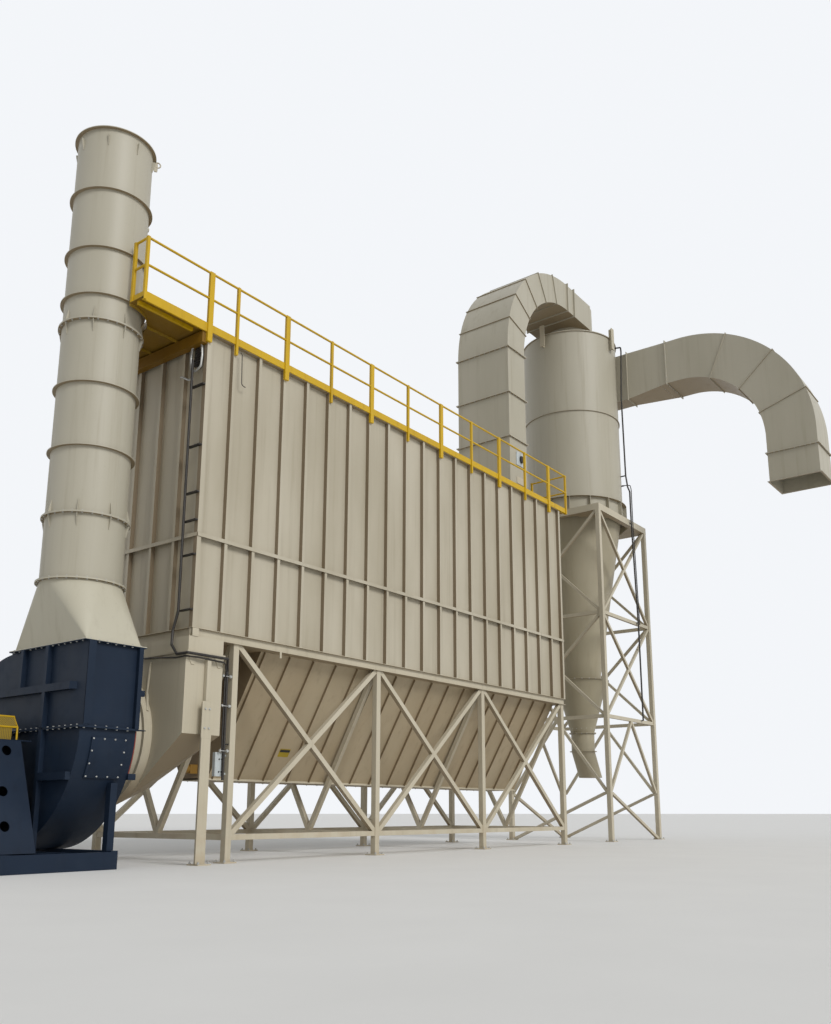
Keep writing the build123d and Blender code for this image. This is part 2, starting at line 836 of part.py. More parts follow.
# Short posts that carry the scroll's front and back on the frame, and the motor's stool
with BuildPart() as fan_supports:
    far_post = frame_far - fan_post
    rear_post = mid_y + fan_arm_share * volute_back
    for x, y in ((far_post, fan_post_front), (far_post, rear_post), (fan_near + fan_rim, rear_post)):
        box_between((x, y, fan_frame_height), (x + fan_post, y + fan_post, fan_post_top))
    box_between(
        (frame_far - fan_frame_channel, low_y, fan_frame_height),
        (frame_far, rear, fan_frame_height + pedestal_plate_gauge),
    )
    with BuildSketch(Plane.YZ.offset(fan_near)):
        scroll_outline(seat_gap)
    extrude(amount=fan_far - fan_near, mode=Mode.SUBTRACT)
    stool_top = shaft_height - motor_radius - motor_foot
    with BuildSketch(Plane.YZ.offset(motor_far - motor_length)):
        outline = [
            (-pedestal_half, fan_frame_height),
            (pedestal_half, fan_frame_height),
            (motor_radius, stool_top),
            (-motor_radius, stool_top),
        ]
        Polygon(*[(mid_y + y, z) for y, z in outline], align=None)
    extrude(amount=motor_length)


def pedestal_section(shrink):
    """Cross section of the pedestal, leaning in from its foot to its top, in Y and Z."""
    foot = pedestal_foot - shrink
    top = pedestal_half - shrink
    low_z = fan_frame_height + min(shrink, pedestal_plate_gauge)
    high_z = pedestal_top - pedestal_plate_gauge
    outline = [(-foot, low_z), (foot, low_z), (top, high_z), (-top, high_z)]
    Polygon(*[(mid_y + y, z) for y, z in outline], align=None)


# Bearing pedestal with lightening holes in its leaning sides, and a shelf that runs on to the casing
with BuildPart() as fan_pedestal:
    with BuildSketch(Plane.YZ.offset(pedestal_near)):
        pedestal_section(0)
    extrude(amount=pedestal_length)
    with BuildSketch(Plane.YZ.offset(pedestal_near + pedestal_plate_gauge)):
        pedestal_section(pedestal_plate_gauge)
    extrude(amount=pedestal_length - 2 * pedestal_plate_gauge, mode=Mode.SUBTRACT)
    with BuildSketch(Plane.XZ.offset(-mid_y)):
        with Locations(*[(pedestal_far - back, z) for back, z in pedestal_hole_places]):
            Circle(pedestal_hole)
    extrude(amount=2 * pedestal_foot, both=True, mode=Mode.SUBTRACT)
    box_between(
        (pedestal_near, mid_y - pedestal_half, pedestal_top - pedestal_plate_gauge),
        (fan_near - fan_bar - shaft_clearance, mid_y + pedestal_half, pedestal_top),
    )

with BuildPart() as fan_shaft:
    with BuildSketch(Plane.YZ.offset(motor_far)):
        with Locations((mid_y, shaft_height)):
            Circle(shaft_radius)
    extrude(amount=fan_near - motor_far)
    bearings = (pedestal_near + bearing_inset, pedestal_far - bearing_inset - bearing_length)
    for start, length in [(motor_far, coupling_length)] + [(x, bearing_length) for x in bearings]:
        with BuildSketch(Plane.YZ.offset(start)):
            with Locations((mid_y, shaft_height)):
                Circle(bearing_radius)
        extrude(amount=length)
    for x in bearings:
        box_between(
            (x, mid_y - bearing_foot, pedestal_top),
            (x + bearing_length, mid_y + bearing_foot, shaft_height - bearing_radius / 2),
        )


def guard_section(shrink):
    """Cross section of the guard: upright sides, sloping shoulders and a flat top, in Y and Z."""
    half = guard_half - shrink
    crown = guard_half - guard_slope - shrink
    outline = [
        (-half, pedestal_top),
        (half, pedestal_top),
        (half, guard_eave),
        (crown, guard_top - shrink),
        (-crown, guard_top - shrink),
        (-half, guard_eave),
    ]
    Polygon(*[(mid_y + y, z) for y, z in outline], align=None)


# Guard over the shaft and bearings, its sides cut back below the eaves at the fan end
with BuildPart() as fan_guard:
    guard_length = pedestal_length - guard_lap
    with BuildSketch(Plane.YZ.offset(pedestal_near)):
        guard_section(0)
    extrude(amount=guard_length)
    with BuildSketch(Plane.YZ.offset(pedestal_near)):
        guard_section(guard_sheet)
    extrude(amount=guard_length, mode=Mode.SUBTRACT)
    with Locations((pedestal_far, mid_y, pedestal_top)):
        Box(2 * guard_end_gap, 3 * guard_half, 2 * (guard_eave - pedestal_top), mode=Mode.SUBTRACT)

# Drive motor with feet and terminal box
with BuildPart() as fan_motor:
    with BuildSketch(Plane.YZ.offset(motor_far)):
        with Locations((mid_y, shaft_height)):
            Circle(motor_radius)
    extrude(amount=-motor_length)
    chamfer(edges().filter_by(GeomType.CIRCLE), motor_chamfer)
    box_between(
        (motor_far - motor_length + motor_chamfer, mid_y - motor_radius, stool_top),
        (motor_far - motor_chamfer, mid_y + motor_radius, shaft_height - motor_radius / 2),
    )
    box_middle = motor_far - motor_length / 2
    box_between(
        (box_middle - motor_box_length / 2, mid_y + motor_radius / 2, shaft_height - motor_foot),
        (box_middle + motor_box_length / 2, mid_y + motor_box_reach, shaft_height + motor_radius / 2),
    )

# Stack: square-to-round piece and three flanged sections
stack_centre = (stack_x, stack_y)
outlet_centre = ((fan_near + fan_far) / 2, fan_front + fan_outlet_depth / 2)


def transition_solid(shrink, bottom, top):
    half_x = (fan_far - fan_near) / 2 - shrink
    half_y = fan_outlet_depth / 2 - shrink
    corners = [(-half_x, -half_y), (half_x, -half_y), (half_x, half_y), (-half_x, half_y)]
    mouth = [(outlet_centre[0] + x, outlet_centre[1] + y) for x, y in corners]
    collar = round_outline(stack_centre, stack_radius - shrink, transition_facets)
    return stretched_solid(Plane.XY.offset(bottom), mouth, collar, top - bottom)


with BuildPart() as stack_transition:
    add(transition_solid(0, transition_bottom, stack_bottom))
    with BuildSketch(Plane.XY.offset(transition_bottom)):
        with Locations(outlet_centre):
            Rectangle(fan_far - fan_near + 2 * fan_flange, fan_outlet_depth + 2 * fan_flange)
    extrude(amount=fan_flange_gauge)
    with BuildSketch(Plane.XY.offset(stack_bottom - ring_gauge)):
        with Locations(stack_centre):
            Circle(stack_radius + stack_ring)
    extrude(amount=ring_gauge)
    add(transition_solid(stack_wall, transition_bottom, stack_bottom), mode=Mode.SUBTRACT)

joints = [stack_bottom] + stack_joints + [stack_top]


def stack_section(bottom, top, levels):
    rings = [bottom] + levels + [top - ring_gauge]
    return round_shell(stack_centre, stack_radius, stack_wall, bottom, top, stack_ring, rings)


stack_lower = stack_section(stack_bottom, stack_joints[0], [])
stack_middle = stack_section(stack_joints[0], stack_joints[1], middle_rings)
with BuildPart() as stack_upper:
    add(stack_section(stack_joints[1], stack_top, upper_rings))
    for level in sampling_ports:
        with BuildSketch(Plane.YZ.offset(stack_x + stack_radius - stack_wall)):
            with Locations((stack_y, level)):
                Circle(port_radius)
        extrude(amount=port_length)

# Railings: square posts on the stiffeners, two tubes and a toe board
deck_low = roof_level
deck_high = roof_level + toe_height


def rail_post(x, y, bottom, width=0.0):
    half_x = rail_post_size / 2 + width
    with Locations((x, y, (bottom + deck_low + rail_height) / 2)):
        Box(2 * half_x, rail_post_size, deck_low + rail_height - bottom)


def rail_line(start, end):
    """Top tube, middle tube and toe board along one straight edge."""
    along_x = abs(end[0] - start[0]) > abs(end[1] - start[1])
    length = abs(end[0] - start[0]) + abs(end[1] - start[1])
    middle = ((start[0] + end[0]) / 2, (start[1] + end[1]) / 2)
    for level in (deck_low + rail_height - rail_tube / 2, deck_low + mid_rail_height):
        with Locations((middle[0], middle[1], level)):
            Cylinder(rail_tube / 2, length, rotation=(0, 90, 0) if along_x else (90, 0, 0))
    board = (length, toe_plate, toe_height) if along_x else (toe_plate, length, toe_height)
    with Locations((middle[0], middle[1], (deck_low + deck_high) / 2)):
        Box(*board)


post_half = rail_post_size / 2
platform_near = near_end - platform_reach
ledge_far = far_end + far_ledge
front_line = front_face - post_half
rear_line = rear_face + post_half


def long_railing(y):
    near = platform_near if y < mid_y else near_end
    with BuildPart() as railing:
        rail_line((near, y), (ledge_far, y))
        for i in range(1, long_panels, 2):
            wide = rail_post_size / 2 if i % 4 == 3 else 0.0
            rail_post(near_end + panel_pitch * i, y, wall_top - post_drop, wide)
        rail_post(near_end, y, wall_top - post_drop, rail_post_size / 2)
        if near < near_end:
            rail_post(near + post_half, y, deck_low - stringer_size)
        rail_post(ledge_far - post_half, y, deck_low - stringer_size)
    return railing.part


front_railing = long_railing(front_line)
rear_railing = long_railing(rear_line)

notch_edge = notch_radius + toe_plate + seat_gap
platform_rear = front_face + platform_width - post_half
with BuildPart() as end_railings:
    for start, end in (
        (front_line + post_half + seat_gap, front_line + far_return),
        (rear_line - far_return, rear_line - post_half - seat_gap),
    ):
        rail_line((ledge_far - post_half, start), (ledge_far - post_half, end))
        rail_post(ledge_far - post_half, (start + end) / 2, deck_low)
        rail_post(ledge_far - post_half, end - post_half if start < mid_y else start + post_half, deck_low)

    for start, end in (
        (front_line + post_half + seat_gap, stack_y - notch_edge),
        (stack_y + notch_edge, platform_rear - post_half - seat_gap),
    ):
        rail_line((platform_near + post_half, start), (platform_near + post_half, end))
        last = end - post_half if start < stack_y else start + post_half
        rail_post(platform_near + post_half, last, deck_low)
    rail_line((platform_near + toe_plate, platform_rear), (near_end - post_half, platform_rear))
    for x in (platform_near + post_half, near_end - platform_reach / 2, near_end - post_half):
        rail_post(x, platform_rear, deck_low)
    rear_corner = (near_end + post_half, platform_rear + post_half)
    rail_line(rear_corner, (near_end + post_half, rear_line - post_half - seat_gap))
    rail_post(near_end + post_half, mid_y + housing_width / 4, deck_low)

# Deck beyond the fan end, cut round the stack, and the ledge at the far end


def deck(low_x, high_x, width, joists):
    """Floor plate on joists, from the front edge of the roof to the given width."""
    middle = (low_x + high_x) / 2
    with BuildPart() as floor:
        box_between((low_x, front_face, deck_low - deck_plate), (high_x, front_face + width, deck_low))
        joist_z = deck_low - deck_plate - stringer_size / 2
        with Locations((middle, front_face + width / 2, joist_z)):
            with GridLocations(0, (width - toe_plate) / (joists - 1), 1, joists):
                Box(high_x - low_x, toe_plate, stringer_size)
    return floor.part


with BuildPart() as end_platform:
    add(deck(platform_near, near_end, platform_width, platform_joists))
    with BuildSketch(Plane.XY.offset(wall_top - stringer_size)):
        with Locations(stack_centre):
            Circle(notch_radius)
    extrude(amount=rail_height, mode=Mode.SUBTRACT)
    with BuildSketch(Plane.XY.offset(deck_low - deck_plate - stringer_size)):
        with Locations(stack_centre):
            Circle(notch_radius + toe_plate)
            Circle(notch_radius, mode=Mode.SUBTRACT)
        with Locations(((platform_near + near_end) / 2, mid_y)):
            Rectangle(platform_reach, housing_width, mode=Mode.INTERSECT)
    extrude(amount=deck_plate + stringer_size + toe_height)

far_ledge_deck = deck(far_end, ledge_far, housing_width, ledge_joists)

with BuildPart() as end_platform_beam:
    beam_top = deck_low - deck_plate - stringer_size
    low = (near_end - platform_beam_width, front_face, beam_top - platform_beam)
    box_between(low, (near_end, rear_face, beam_top))

# Crossover duct: riser from the roof, elbow and level run to the cyclone
riser_base = Plane(origin=(riser_x, mid_y, roof_level), z_dir=(0, 0, 1))
with BuildPart() as crossover_riser:
    add(duct_run(riser_base, crossover_depth, crossover_width, riser_top - roof_level, crossover_flange))
    for level in riser_joints:
        joint = riser_base.offset(level - roof_level - duct_flange_gauge)
        add(frame_ring(joint, crossover_depth, crossover_width, crossover_flange, 2 * duct_flange_gauge))


def elbow_arc(radius):
    """Quarter disc between the riser's top and the level run, in X and Z."""
    with BuildSketch(mode=Mode.PRIVATE) as quarter:
        Circle(radius)
        with Locations((-radius, radius)):
            Rectangle(2 * radius, 2 * radius, mode=Mode.INTERSECT)
    return quarter.sketch_local


def elbow_slab(plane, outer, inner, thickness):
    with BuildPart() as slab:
        with BuildSketch(plane):
            add(elbow_arc(outer))
            add(elbow_arc(inner), mode=Mode.SUBTRACT)
        extrude(amount=thickness / 2, both=True)
    return slab.part


def elbow_section(plane, middle, angle):
    """The plane across an elbow at an angle in degrees from its plane's own X."""
    out = plane.x_dir * cos(radians(angle)) + plane.y_dir * sin(radians(angle))
    return Plane(origin=plane.origin + out * middle, x_dir=out, z_dir=out.cross(plane.z_dir))


def elbow_duct(plane, inner_radius, depth, width, rib_angles):
    """A hollow quarter-turn duct with stiffeners at the given angles."""
    outer_radius = inner_radius + depth
    with BuildPart() as elbow:
        add(elbow_slab(plane, outer_radius, inner_radius, width))
        bore = width - 2 * duct_wall
        add(elbow_slab(plane, outer_radius - duct_wall, inner_radius + duct_wall, bore), mode=Mode.SUBTRACT)
        for angle in rib_angles:
            section = elbow_section(plane, inner_radius + depth / 2, angle)
            add(frame_ring(section, depth, width, crossover_flange * rib_share, duct_flange_gauge))
    return elbow.part


elbow_plane = Plane(origin=(elbow_centre_x, mid_y, elbow_centre_z), x_dir=(1, 0, 0), z_dir=(0, -1, 0))
level_plane = Plane(origin=(elbow_centre_x, mid_y, crossover_z), x_dir=(0, 0, 1), z_dir=(1, 0, 0))
with BuildPart() as crossover_elbow:
    rib_angles = [180 - 90 * (i + 1) / (crossover_ribs + 1) for i in range(crossover_ribs)]
    add(elbow_duct(elbow_plane, elbow_inner_radius, crossover_depth, crossover_width, rib_angles))
    for angle, gauge in ((180, duct_flange_gauge), (90, -duct_flange_gauge)):
        section = elbow_section(elbow_plane, elbow_inner_radius + crossover_depth / 2, angle)
        add(frame_ring(section, crossover_depth, crossover_width, crossover_flange, gauge))
    add(duct_run(level_plane, crossover_depth, crossover_width, crossover_spool, crossover_flange))

# Cyclone: outlet box, roof, barrel, cone, dust can and chute
cyclone_centre = (cyclone_x, mid_y)
crossover_low = crossover_z - crossover_depth / 2
with BuildPart() as cyclone_roof:
    run_end = elbow_centre_x + crossover_spool
    with BuildSketch(Plane.XY.offset(crossover_low)):
        with Locations(cyclone_centre):
            Circle(drum_radius)
        with Locations(((run_end + cyclone_x) / 2, mid_y)):
            Rectangle(cyclone_x - run_end, crossover_width)
    extrude(amount=crossover_depth)
    with BuildSketch(Plane.XY.offset(barrel_top)):
        with Locations(cyclone_centre):
            Circle(drum_radius - collar_flange)
    extrude(amount=crossover_low - barrel_top)
    with BuildSketch(Plane.XY.offset(barrel_top)):
        with Locations(cyclone_centre):
            Circle(cyclone_radius + barrel_rim)
    extrude(amount=roof_gauge)
    outlet_plane = Plane(origin=(run_end, mid_y, crossover_z), x_dir=(0, 0, 1), z_dir=(1, 0, 0))
    add(frame_ring(outlet_plane, crossover_depth, crossover_width, crossover_flange, duct_flange_gauge))

with BuildPart() as cyclone_barrel:
    base = (cyclone_centre, cyclone_radius)
    rims = [barrel_ring, barrel_top - ring_gauge]
    add(round_shell(*base, cyclone_wall, barrel_bottom, barrel_top, barrel_rim, rims))
    add(round_ring(*base, barrel_flange, barrel_bottom, ring_gauge))

with BuildPart() as cyclone_cone:
    with BuildSketch(Plane.XZ.offset(-mid_y)):
        outside = [
            (cone_bottom_radius, cone_bottom),
            (cone_foot_radius, cone_joint - ring_gauge),
            (cone_foot_radius, cone_joint),
            (cone_joint_radius, cone_joint),
            (cyclone_radius, barrel_bottom),
        ]
        inside = [
            (cyclone_radius - cyclone_wall, barrel_bottom),
            (cone_joint_radius - cyclone_wall, cone_joint - ring_gauge),
            (cone_foot_radius - cyclone_wall, cone_joint - ring_gauge),
            (cone_bottom_radius - cyclone_wall, cone_bottom),
        ]
        Polygon(*[(cyclone_x + r, z) for r, z in outside + inside], align=None)
    revolve(axis=Axis((cyclone_x, mid_y, 0), (0, 0, 1)))
    for radius, level in ((cone_bottom_radius, cone_bottom), (cone_foot_radius, cone_joint - ring_gauge)):
        add(round_ring(cyclone_centre, radius - cyclone_wall / 2, cone_flange, level, ring_gauge))

with BuildPart() as cyclone_skirt:
    skirt_low = tower_top + tower_beam
    with BuildSketch(Plane.XY.offset(skirt_low)):
        with Locations(cyclone_centre):
            Circle(cyclone_radius + barrel_flange)
            Circle(cyclone_radius, mode=Mode.SUBTRACT)
    extrude(amount=ring_gauge)
    with BuildSketch(Plane.XY.offset(skirt_low)):
        with Locations(cyclone_centre):
            Circle(cyclone_radius + cyclone_wall)
            Circle(cyclone_radius, mode=Mode.SUBTRACT)
            with PolarLocations(cyclone_radius + barrel_flange / 2, gusset_count):
                Rectangle(barrel_flange, ring_gauge)
    extrude(amount=barrel_bottom - skirt_low)

with BuildPart() as cyclone_discharge:
    can_bottom = cone_bottom - can_height
    with BuildSketch(Plane.XY.offset(can_bottom)):
        with Locations(cyclone_centre):
            Circle(cone_bottom_radius)
    extrude(amount=can_height)
    add(round_ring(cyclone_centre, cone_bottom_radius, cone_flange, cone_bottom - ring_gauge, ring_gauge))
    add(round_ring(cyclone_centre, cone_bottom_radius, cone_flange, can_bottom, ring_gauge))
    chute_low = can_bottom - chute_height
    with BuildSketch(Plane.XY.offset(can_bottom)):
        with Locations(cyclone_centre):
            Circle(cone_bottom_radius)
    with BuildSketch(Plane.XY.offset(chute_low)):
        with Locations((cyclone_x + chute_shift, mid_y)):
            Circle(cone_bottom_radius)
    loft()

# Tower under the cyclone
tower_near = cyclone_x - tower_size / 2
tower_far = cyclone_x + tower_size / 2
tower_front = mid_y - tower_size / 2
tower_rear = mid_y + tower_size / 2
leg_half = tower_leg / 2
leg_columns = (tower_near + leg_half, tower_far - leg_half)
leg_rows = (tower_front + leg_half, tower_rear - leg_half)
leg_places = [(x, y) for x in leg_columns for y in leg_rows]

with BuildPart() as base_plates:
    places = [(x, y) for x in column_places for y in column_rows] + leg_places
    places += [(leg_x, front_face - plenum_leg / 2), (leg_x, rear_face + plenum_leg / 2)]
    with Locations(*[(x, y, plate_thickness / 2) for x, y in places]):
        Box(base_plate, base_plate, plate_thickness)

with BuildPart() as tower_legs:
    with BuildSketch(Plane.XY.offset(plate_thickness)):
        with Locations(*leg_places):
            RectangleRounded(tower_leg, tower_leg, column_corner)
    extrude(amount=tower_top - plate_thickness)


def tower_side(along_x, left, right, depth):
    """Girts, crossed bars and knee bars of one side, in the plane of its legs."""
    plane = Plane.XZ.offset(-depth) if along_x else Plane.YZ.offset(depth)
    levels = tower_girts + [tower_top]
    half = tower_girt_size / 2
    near, far = depth - tower_brace / 2, depth + tower_brace / 2
    with BuildPart() as side:
        for level in tower_girts:
            low = (left + seat_gap, near, level - half)
            high = (right - seat_gap, far, level + half)
            if not along_x:
                low = (near, left + seat_gap, level - half)
                high = (far, right - seat_gap, level + half)
            box_between(low, high)
        for low, high in zip(levels[:-1], levels[1:]):
            top = high if high == tower_top else high - half
            add(crossed_bars(plane, (left, low + half), (right, top), tower_brace))
        middle = (left + right) / 2
        knee_top = tower_girts[0] - half
        add(single_bar(plane, (left, tower_knee), (middle, knee_top), tower_brace, True))
        add(single_bar(plane, (middle, tower_knee), (right, knee_top), tower_brace, False))
        add(single_bar(plane, (left, plate_thickness), (right, tower_knee), tower_brace, False))
    return side.part


clear_x = (tower_near + tower_leg, tower_far - tower_leg)
clear_y = (tower_front + tower_leg, tower_rear - tower_leg)
tower_front_bracing = tower_side(True, *clear_x, leg_rows[0])
tower_rear_bracing = tower_side(True, *clear_x, leg_rows[1])
tower_near_bracing = tower_side(False, *clear_y, leg_columns[0])
tower_far_bracing = tower_side(False, *clear_y, leg_columns[1])

# Ring of beams that carries the cyclone, with a plate across each corner
with BuildPart() as tower_top_frame:
    beam_top = tower_top + tower_beam
    inner = tower_size - 2 * tower_beam_width
    for y in (tower_front, tower_rear - tower_beam_width):
        box_between((tower_near, y, tower_top), (tower_far, y + tower_beam_width, beam_top))
    for x in (tower_near, tower_far - tower_beam_width):
        box_between(
            (x, tower_front + tower_beam_width + seat_gap, tower_top),
            (x + tower_beam_width, tower_rear - tower_beam_width - seat_gap, beam_top),
        )

    corner = inner / 2 - seat_gap
    corner_reach = 2 * corner - sqrt(2) * (cyclone_radius + corner_gap)
    for side_x in (-1, 1):
        for side_y in (-1, 1):
            with BuildSketch(Plane.XY.offset(tower_top)):
                inward = corner - corner_reach
                outline = [(corner, corner), (inward, corner), (corner, inward)]
                Polygon(*[(cyclone_x + side_x * x, mid_y + side_y * y) for x, y in outline], align=None)
            extrude(amount=tower_beam)

# Inlet: narrow mouth on the barrel, a piece that widens it, long elbow and downward tail
inlet_near = cyclone_x + cyclone_radius - inlet_inset - inlet_width
gooseneck_x = inlet_near + gooseneck_width / 2
gooseneck_top = gooseneck_centre_z + gooseneck_inner_radius + gooseneck_depth
gooseneck_middle = gooseneck_top - gooseneck_depth / 2
mouth_top = inlet_mouth_bottom + inlet_mouth_height


def inlet_body(shrink):
    """The inlet from inside the barrel to the elbow's joint, widening past its collar."""
    low_x = inlet_near + shrink
    mouth = rectangle_outline(
        (low_x, inlet_mouth_bottom + shrink),
        (inlet_near + inlet_width - shrink, mouth_top - shrink),
    )
    joint = rectangle_outline(
        (low_x, gooseneck_top - gooseneck_depth + shrink),
        (inlet_near + gooseneck_width - shrink, gooseneck_top - shrink),
    )
    with BuildPart() as body:
        collar_side = Plane.XZ.offset(-inlet_collar_end)
        add(stretched_solid(collar_side, mouth, joint, inlet_collar_end - inlet_joint))
        box_between((low_x, inlet_collar_end, mouth[0][1]), (mouth[2][0], mid_y - inlet_root, mouth[2][1]))
    return body.part


joint_plane = Plane(origin=(gooseneck_x, inlet_joint, gooseneck_middle), x_dir=(0, 0, 1), z_dir=(0, -1, 0))
collar_centre = (inlet_near + inlet_width / 2, inlet_collar_end, (inlet_mouth_bottom + mouth_top) / 2)
collar_plane = Plane(origin=collar_centre, x_dir=(0, 0, 1), z_dir=(0, -1, 0))
with BuildPart() as inlet_duct:
    add(inlet_body(0))
    add(inlet_body(duct_wall), mode=Mode.SUBTRACT)
    add(frame_ring(collar_plane, inlet_mouth_height, inlet_width, crossover_flange, -duct_flange_gauge))
    add(frame_ring(joint_plane, gooseneck_depth, gooseneck_width, crossover_flange, -duct_flange_gauge))
    with BuildSketch(Plane.XY.offset(barrel_bottom)):
        with Locations(cyclone_centre):
            Circle(cyclone_radius + seat_gap)
    extrude(amount=barrel_top - barrel_bottom, mode=Mode.SUBTRACT)

gooseneck_size = (gooseneck_depth, gooseneck_width)
gooseneck_centre = (gooseneck_x, gooseneck_centre_y, gooseneck_centre_z)
gooseneck_plane = Plane(origin=gooseneck_centre, x_dir=(0, 1, 0), z_dir=(1, 0, 0))
tail_y = gooseneck_centre_y - gooseneck_inner_radius - gooseneck_depth / 2
tail_plane = Plane(origin=(gooseneck_x, tail_y, gooseneck_mouth), x_dir=(0, 1, 0), z_dir=(0, 0, 1))
tail_length = gooseneck_joint - gooseneck_mouth
gooseneck_tail = duct_run(tail_plane, *gooseneck_size, tail_length, crossover_flange)
with BuildPart() as gooseneck_elbow:
    add(elbow_duct(gooseneck_plane, gooseneck_inner_radius, *gooseneck_size, gooseneck_rib_angles))
    leg_plane = tail_plane.offset(tail_length)
    for plane, length in (
        (leg_plane, gooseneck_centre_z - gooseneck_joint),
        (joint_plane, inlet_joint - gooseneck_centre_y),
    ):
        add(bare_duct(plane, *gooseneck_size, length))
        add(frame_ring(plane, *gooseneck_size, crossover_flange, duct_flange_gauge))


def pipe_run(points, radius):
    """Straight lengths of round bar from point to point, with ball joints between them."""
    with BuildPart() as run:
        for start, end in zip(points, points[1:]):
            along = Vector(*end) - Vector(*start)
            with BuildSketch(Plane(origin=start, z_dir=along)):
                Circle(radius)
            extrude(amount=along.length)
        with Locations(*points[1:-1]):
            Sphere(radius)
    return run.part


# Clipped conduit down the end wall, round the neck and down the first column, and its switch box
with BuildPart() as wall_conduit:
    conduit_x = near_end - conduit_standoff - conduit_radius
    conduit_y = front_face + conduit_inset
    drop = (conduit_drop_x, conduit_drop_y)
    route = [(conduit_x, conduit_y, conduit_top), (conduit_x, conduit_y, conduit_clip_levels[0])]
    route += conduit_bend
    route += [(x, conduit_front, conduit_low_level) for x in (conduit_bend[-1][0], conduit_corner_x)]
    route += [(*drop, conduit_drop_top), (*drop, conduit_drop_bottom)]
    add(pipe_run(route, conduit_radius))
    for level in conduit_clip_levels:
        box_between(
            (near_end - conduit_standoff, front_face, level),
            (near_end, conduit_y + 2 * conduit_radius, level + conduit_radius),
        )
    for level in drop_clip_levels:
        box_between(
            (conduit_drop_x, conduit_drop_y, level),
            (-column_size / 2, conduit_drop_y + conduit_radius, level + conduit_radius),
        )

with BuildPart() as junction_box:
    box_far = -column_size / 2 - box_gap
    box_between(
        (box_far - box_width, box_front, box_bottom),
        (box_far, box_front + box_depth, box_bottom + box_height),
    )
    for level in (box_bottom + box_rail, box_bottom + box_height - 2 * box_rail):
        box_between(
            (box_far, box_front + box_rail / 2, level),
            (-column_size / 2, box_front + 3 * box_rail / 2, level + box_rail),
        )

pieces = {
    "base_plates": base_plates,
    "frame_columns": frame_columns,
    "front_bracing": front_bracing,
    "rear_bracing": rear_bracing,
    "cross_bracing": cross_bracing,
    "plenum_legs": plenum_legs,
    "perimeter_beam": perimeter_beam,
    "front_wall": front_wall,
    "rear_wall": rear_wall,
    "near_end_wall": near_end_wall,
    "far_end_wall": far_end_wall,
    "roof": roof,
    "roof_hatches": roof_hatches,
    "hopper_front_slope": hopper_front_slope,
    "hopper_rear_slope": hopper_rear_slope,
    "hopper_ends": hopper_ends,
    "screw_trough": screw_trough,
    "screw_drive": screw_drive,
    "plenum_neck": plenum_neck,
    "fan_plenum": fan_plenum,
    "fan_inlet_cone": fan_inlet_cone,
    "fan_scroll_upper": fan_scroll_upper,
    "fan_scroll_lower": fan_scroll_lower,
    "fan_hatch": fan_hatch,
    "fan_base_frame": fan_base_frame,
    "fan_supports": fan_supports,
    "fan_pedestal": fan_pedestal,
    "fan_shaft": fan_shaft,
    "fan_guard": fan_guard,
    "fan_motor": fan_motor,
    "stack_transition": stack_transition,
    "stack_lower": stack_lower,
    "stack_middle": stack_middle,
    "stack_upper": stack_upper,
    "front_railing": front_railing,
    "rear_railing": rear_railing,
    "end_railings": end_railings,
    "end_platform": end_platform,
    "end_platform_beam": end_platform_beam,
    "far_ledge_deck": far_ledge_deck,
    "crossover_riser": crossover_riser,
    "crossover_elbow": crossover_elbow,
    "cyclone_roof": cyclone_roof,
    "cyclone_barrel": cyclone_barrel,
    "cyclone_cone": cyclone_cone,
    "cyclone_skirt": cyclone_skirt,
    "cyclone_discharge": cyclone_discharge,
    "tower_legs": tower_legs,
    "tower_front_bracing": tower_front_bracing,
    "tower_rear_bracing": tower_rear_bracing,
    "tower_near_bracing": tower_near_bracing,
    "tower_far_bracing": tower_far_bracing,
    "tower_top_frame": tower_top_frame,
    "inlet_duct": inlet_duct,
    "gooseneck_elbow": gooseneck_elbow,
    "gooseneck_tail": gooseneck_tail,
    "wall_conduit": wall_conduit,
    "junction_box": junction_box,
}

for name, piece in pieces.items():
    part = piece.part if isinstance(piece, BuildPart) else piece
    part.label = name
    export_step(part, f"parts/{name}.step")
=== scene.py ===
import json
import math

import bpy
import numpy as np
from mathutils import Matrix, Vector
from mathutils.bvhtree import BVHTree


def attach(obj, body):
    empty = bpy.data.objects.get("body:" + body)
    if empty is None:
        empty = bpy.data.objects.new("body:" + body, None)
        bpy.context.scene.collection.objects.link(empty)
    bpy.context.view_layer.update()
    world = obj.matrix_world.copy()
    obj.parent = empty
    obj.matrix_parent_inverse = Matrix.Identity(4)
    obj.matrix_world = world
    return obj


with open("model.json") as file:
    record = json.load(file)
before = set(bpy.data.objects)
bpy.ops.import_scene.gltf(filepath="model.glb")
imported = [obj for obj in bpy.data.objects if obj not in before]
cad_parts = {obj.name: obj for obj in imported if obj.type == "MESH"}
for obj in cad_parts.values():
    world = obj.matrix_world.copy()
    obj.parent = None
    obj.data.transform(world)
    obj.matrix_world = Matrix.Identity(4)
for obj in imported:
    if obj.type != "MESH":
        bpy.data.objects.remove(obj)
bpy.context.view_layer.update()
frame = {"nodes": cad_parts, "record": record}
nodes = frame["nodes"]
print("frame loaded,", len(nodes), "nodes")


class Wire:
    # a socket that can stand in a Python sum
    def __init__(self, net, socket):
        self.net = net
        self.socket = socket

    def __add__(self, other):
        return self.net.maths("ADD", self, other)

    def __sub__(self, other):
        return self.net.maths("SUBTRACT", self, other)

    def __rsub__(self, other):
        return self.net.maths("SUBTRACT", other, self)

    def __mul__(self, other):
        return self.net.maths("MULTIPLY", self, other)

    def __truediv__(self, other):
        return self.net.maths("DIVIDE", self, other)

    __radd__ = __add__
    __rmul__ = __mul__

    def ramp(self, low, high):
        # rises smoothly from 0 at low to 1 at high
        return self.net.node("ShaderNodeMapRange", {"interpolation_type": "SMOOTHSTEP"},
                             {0: self, 1: low, 2: high})


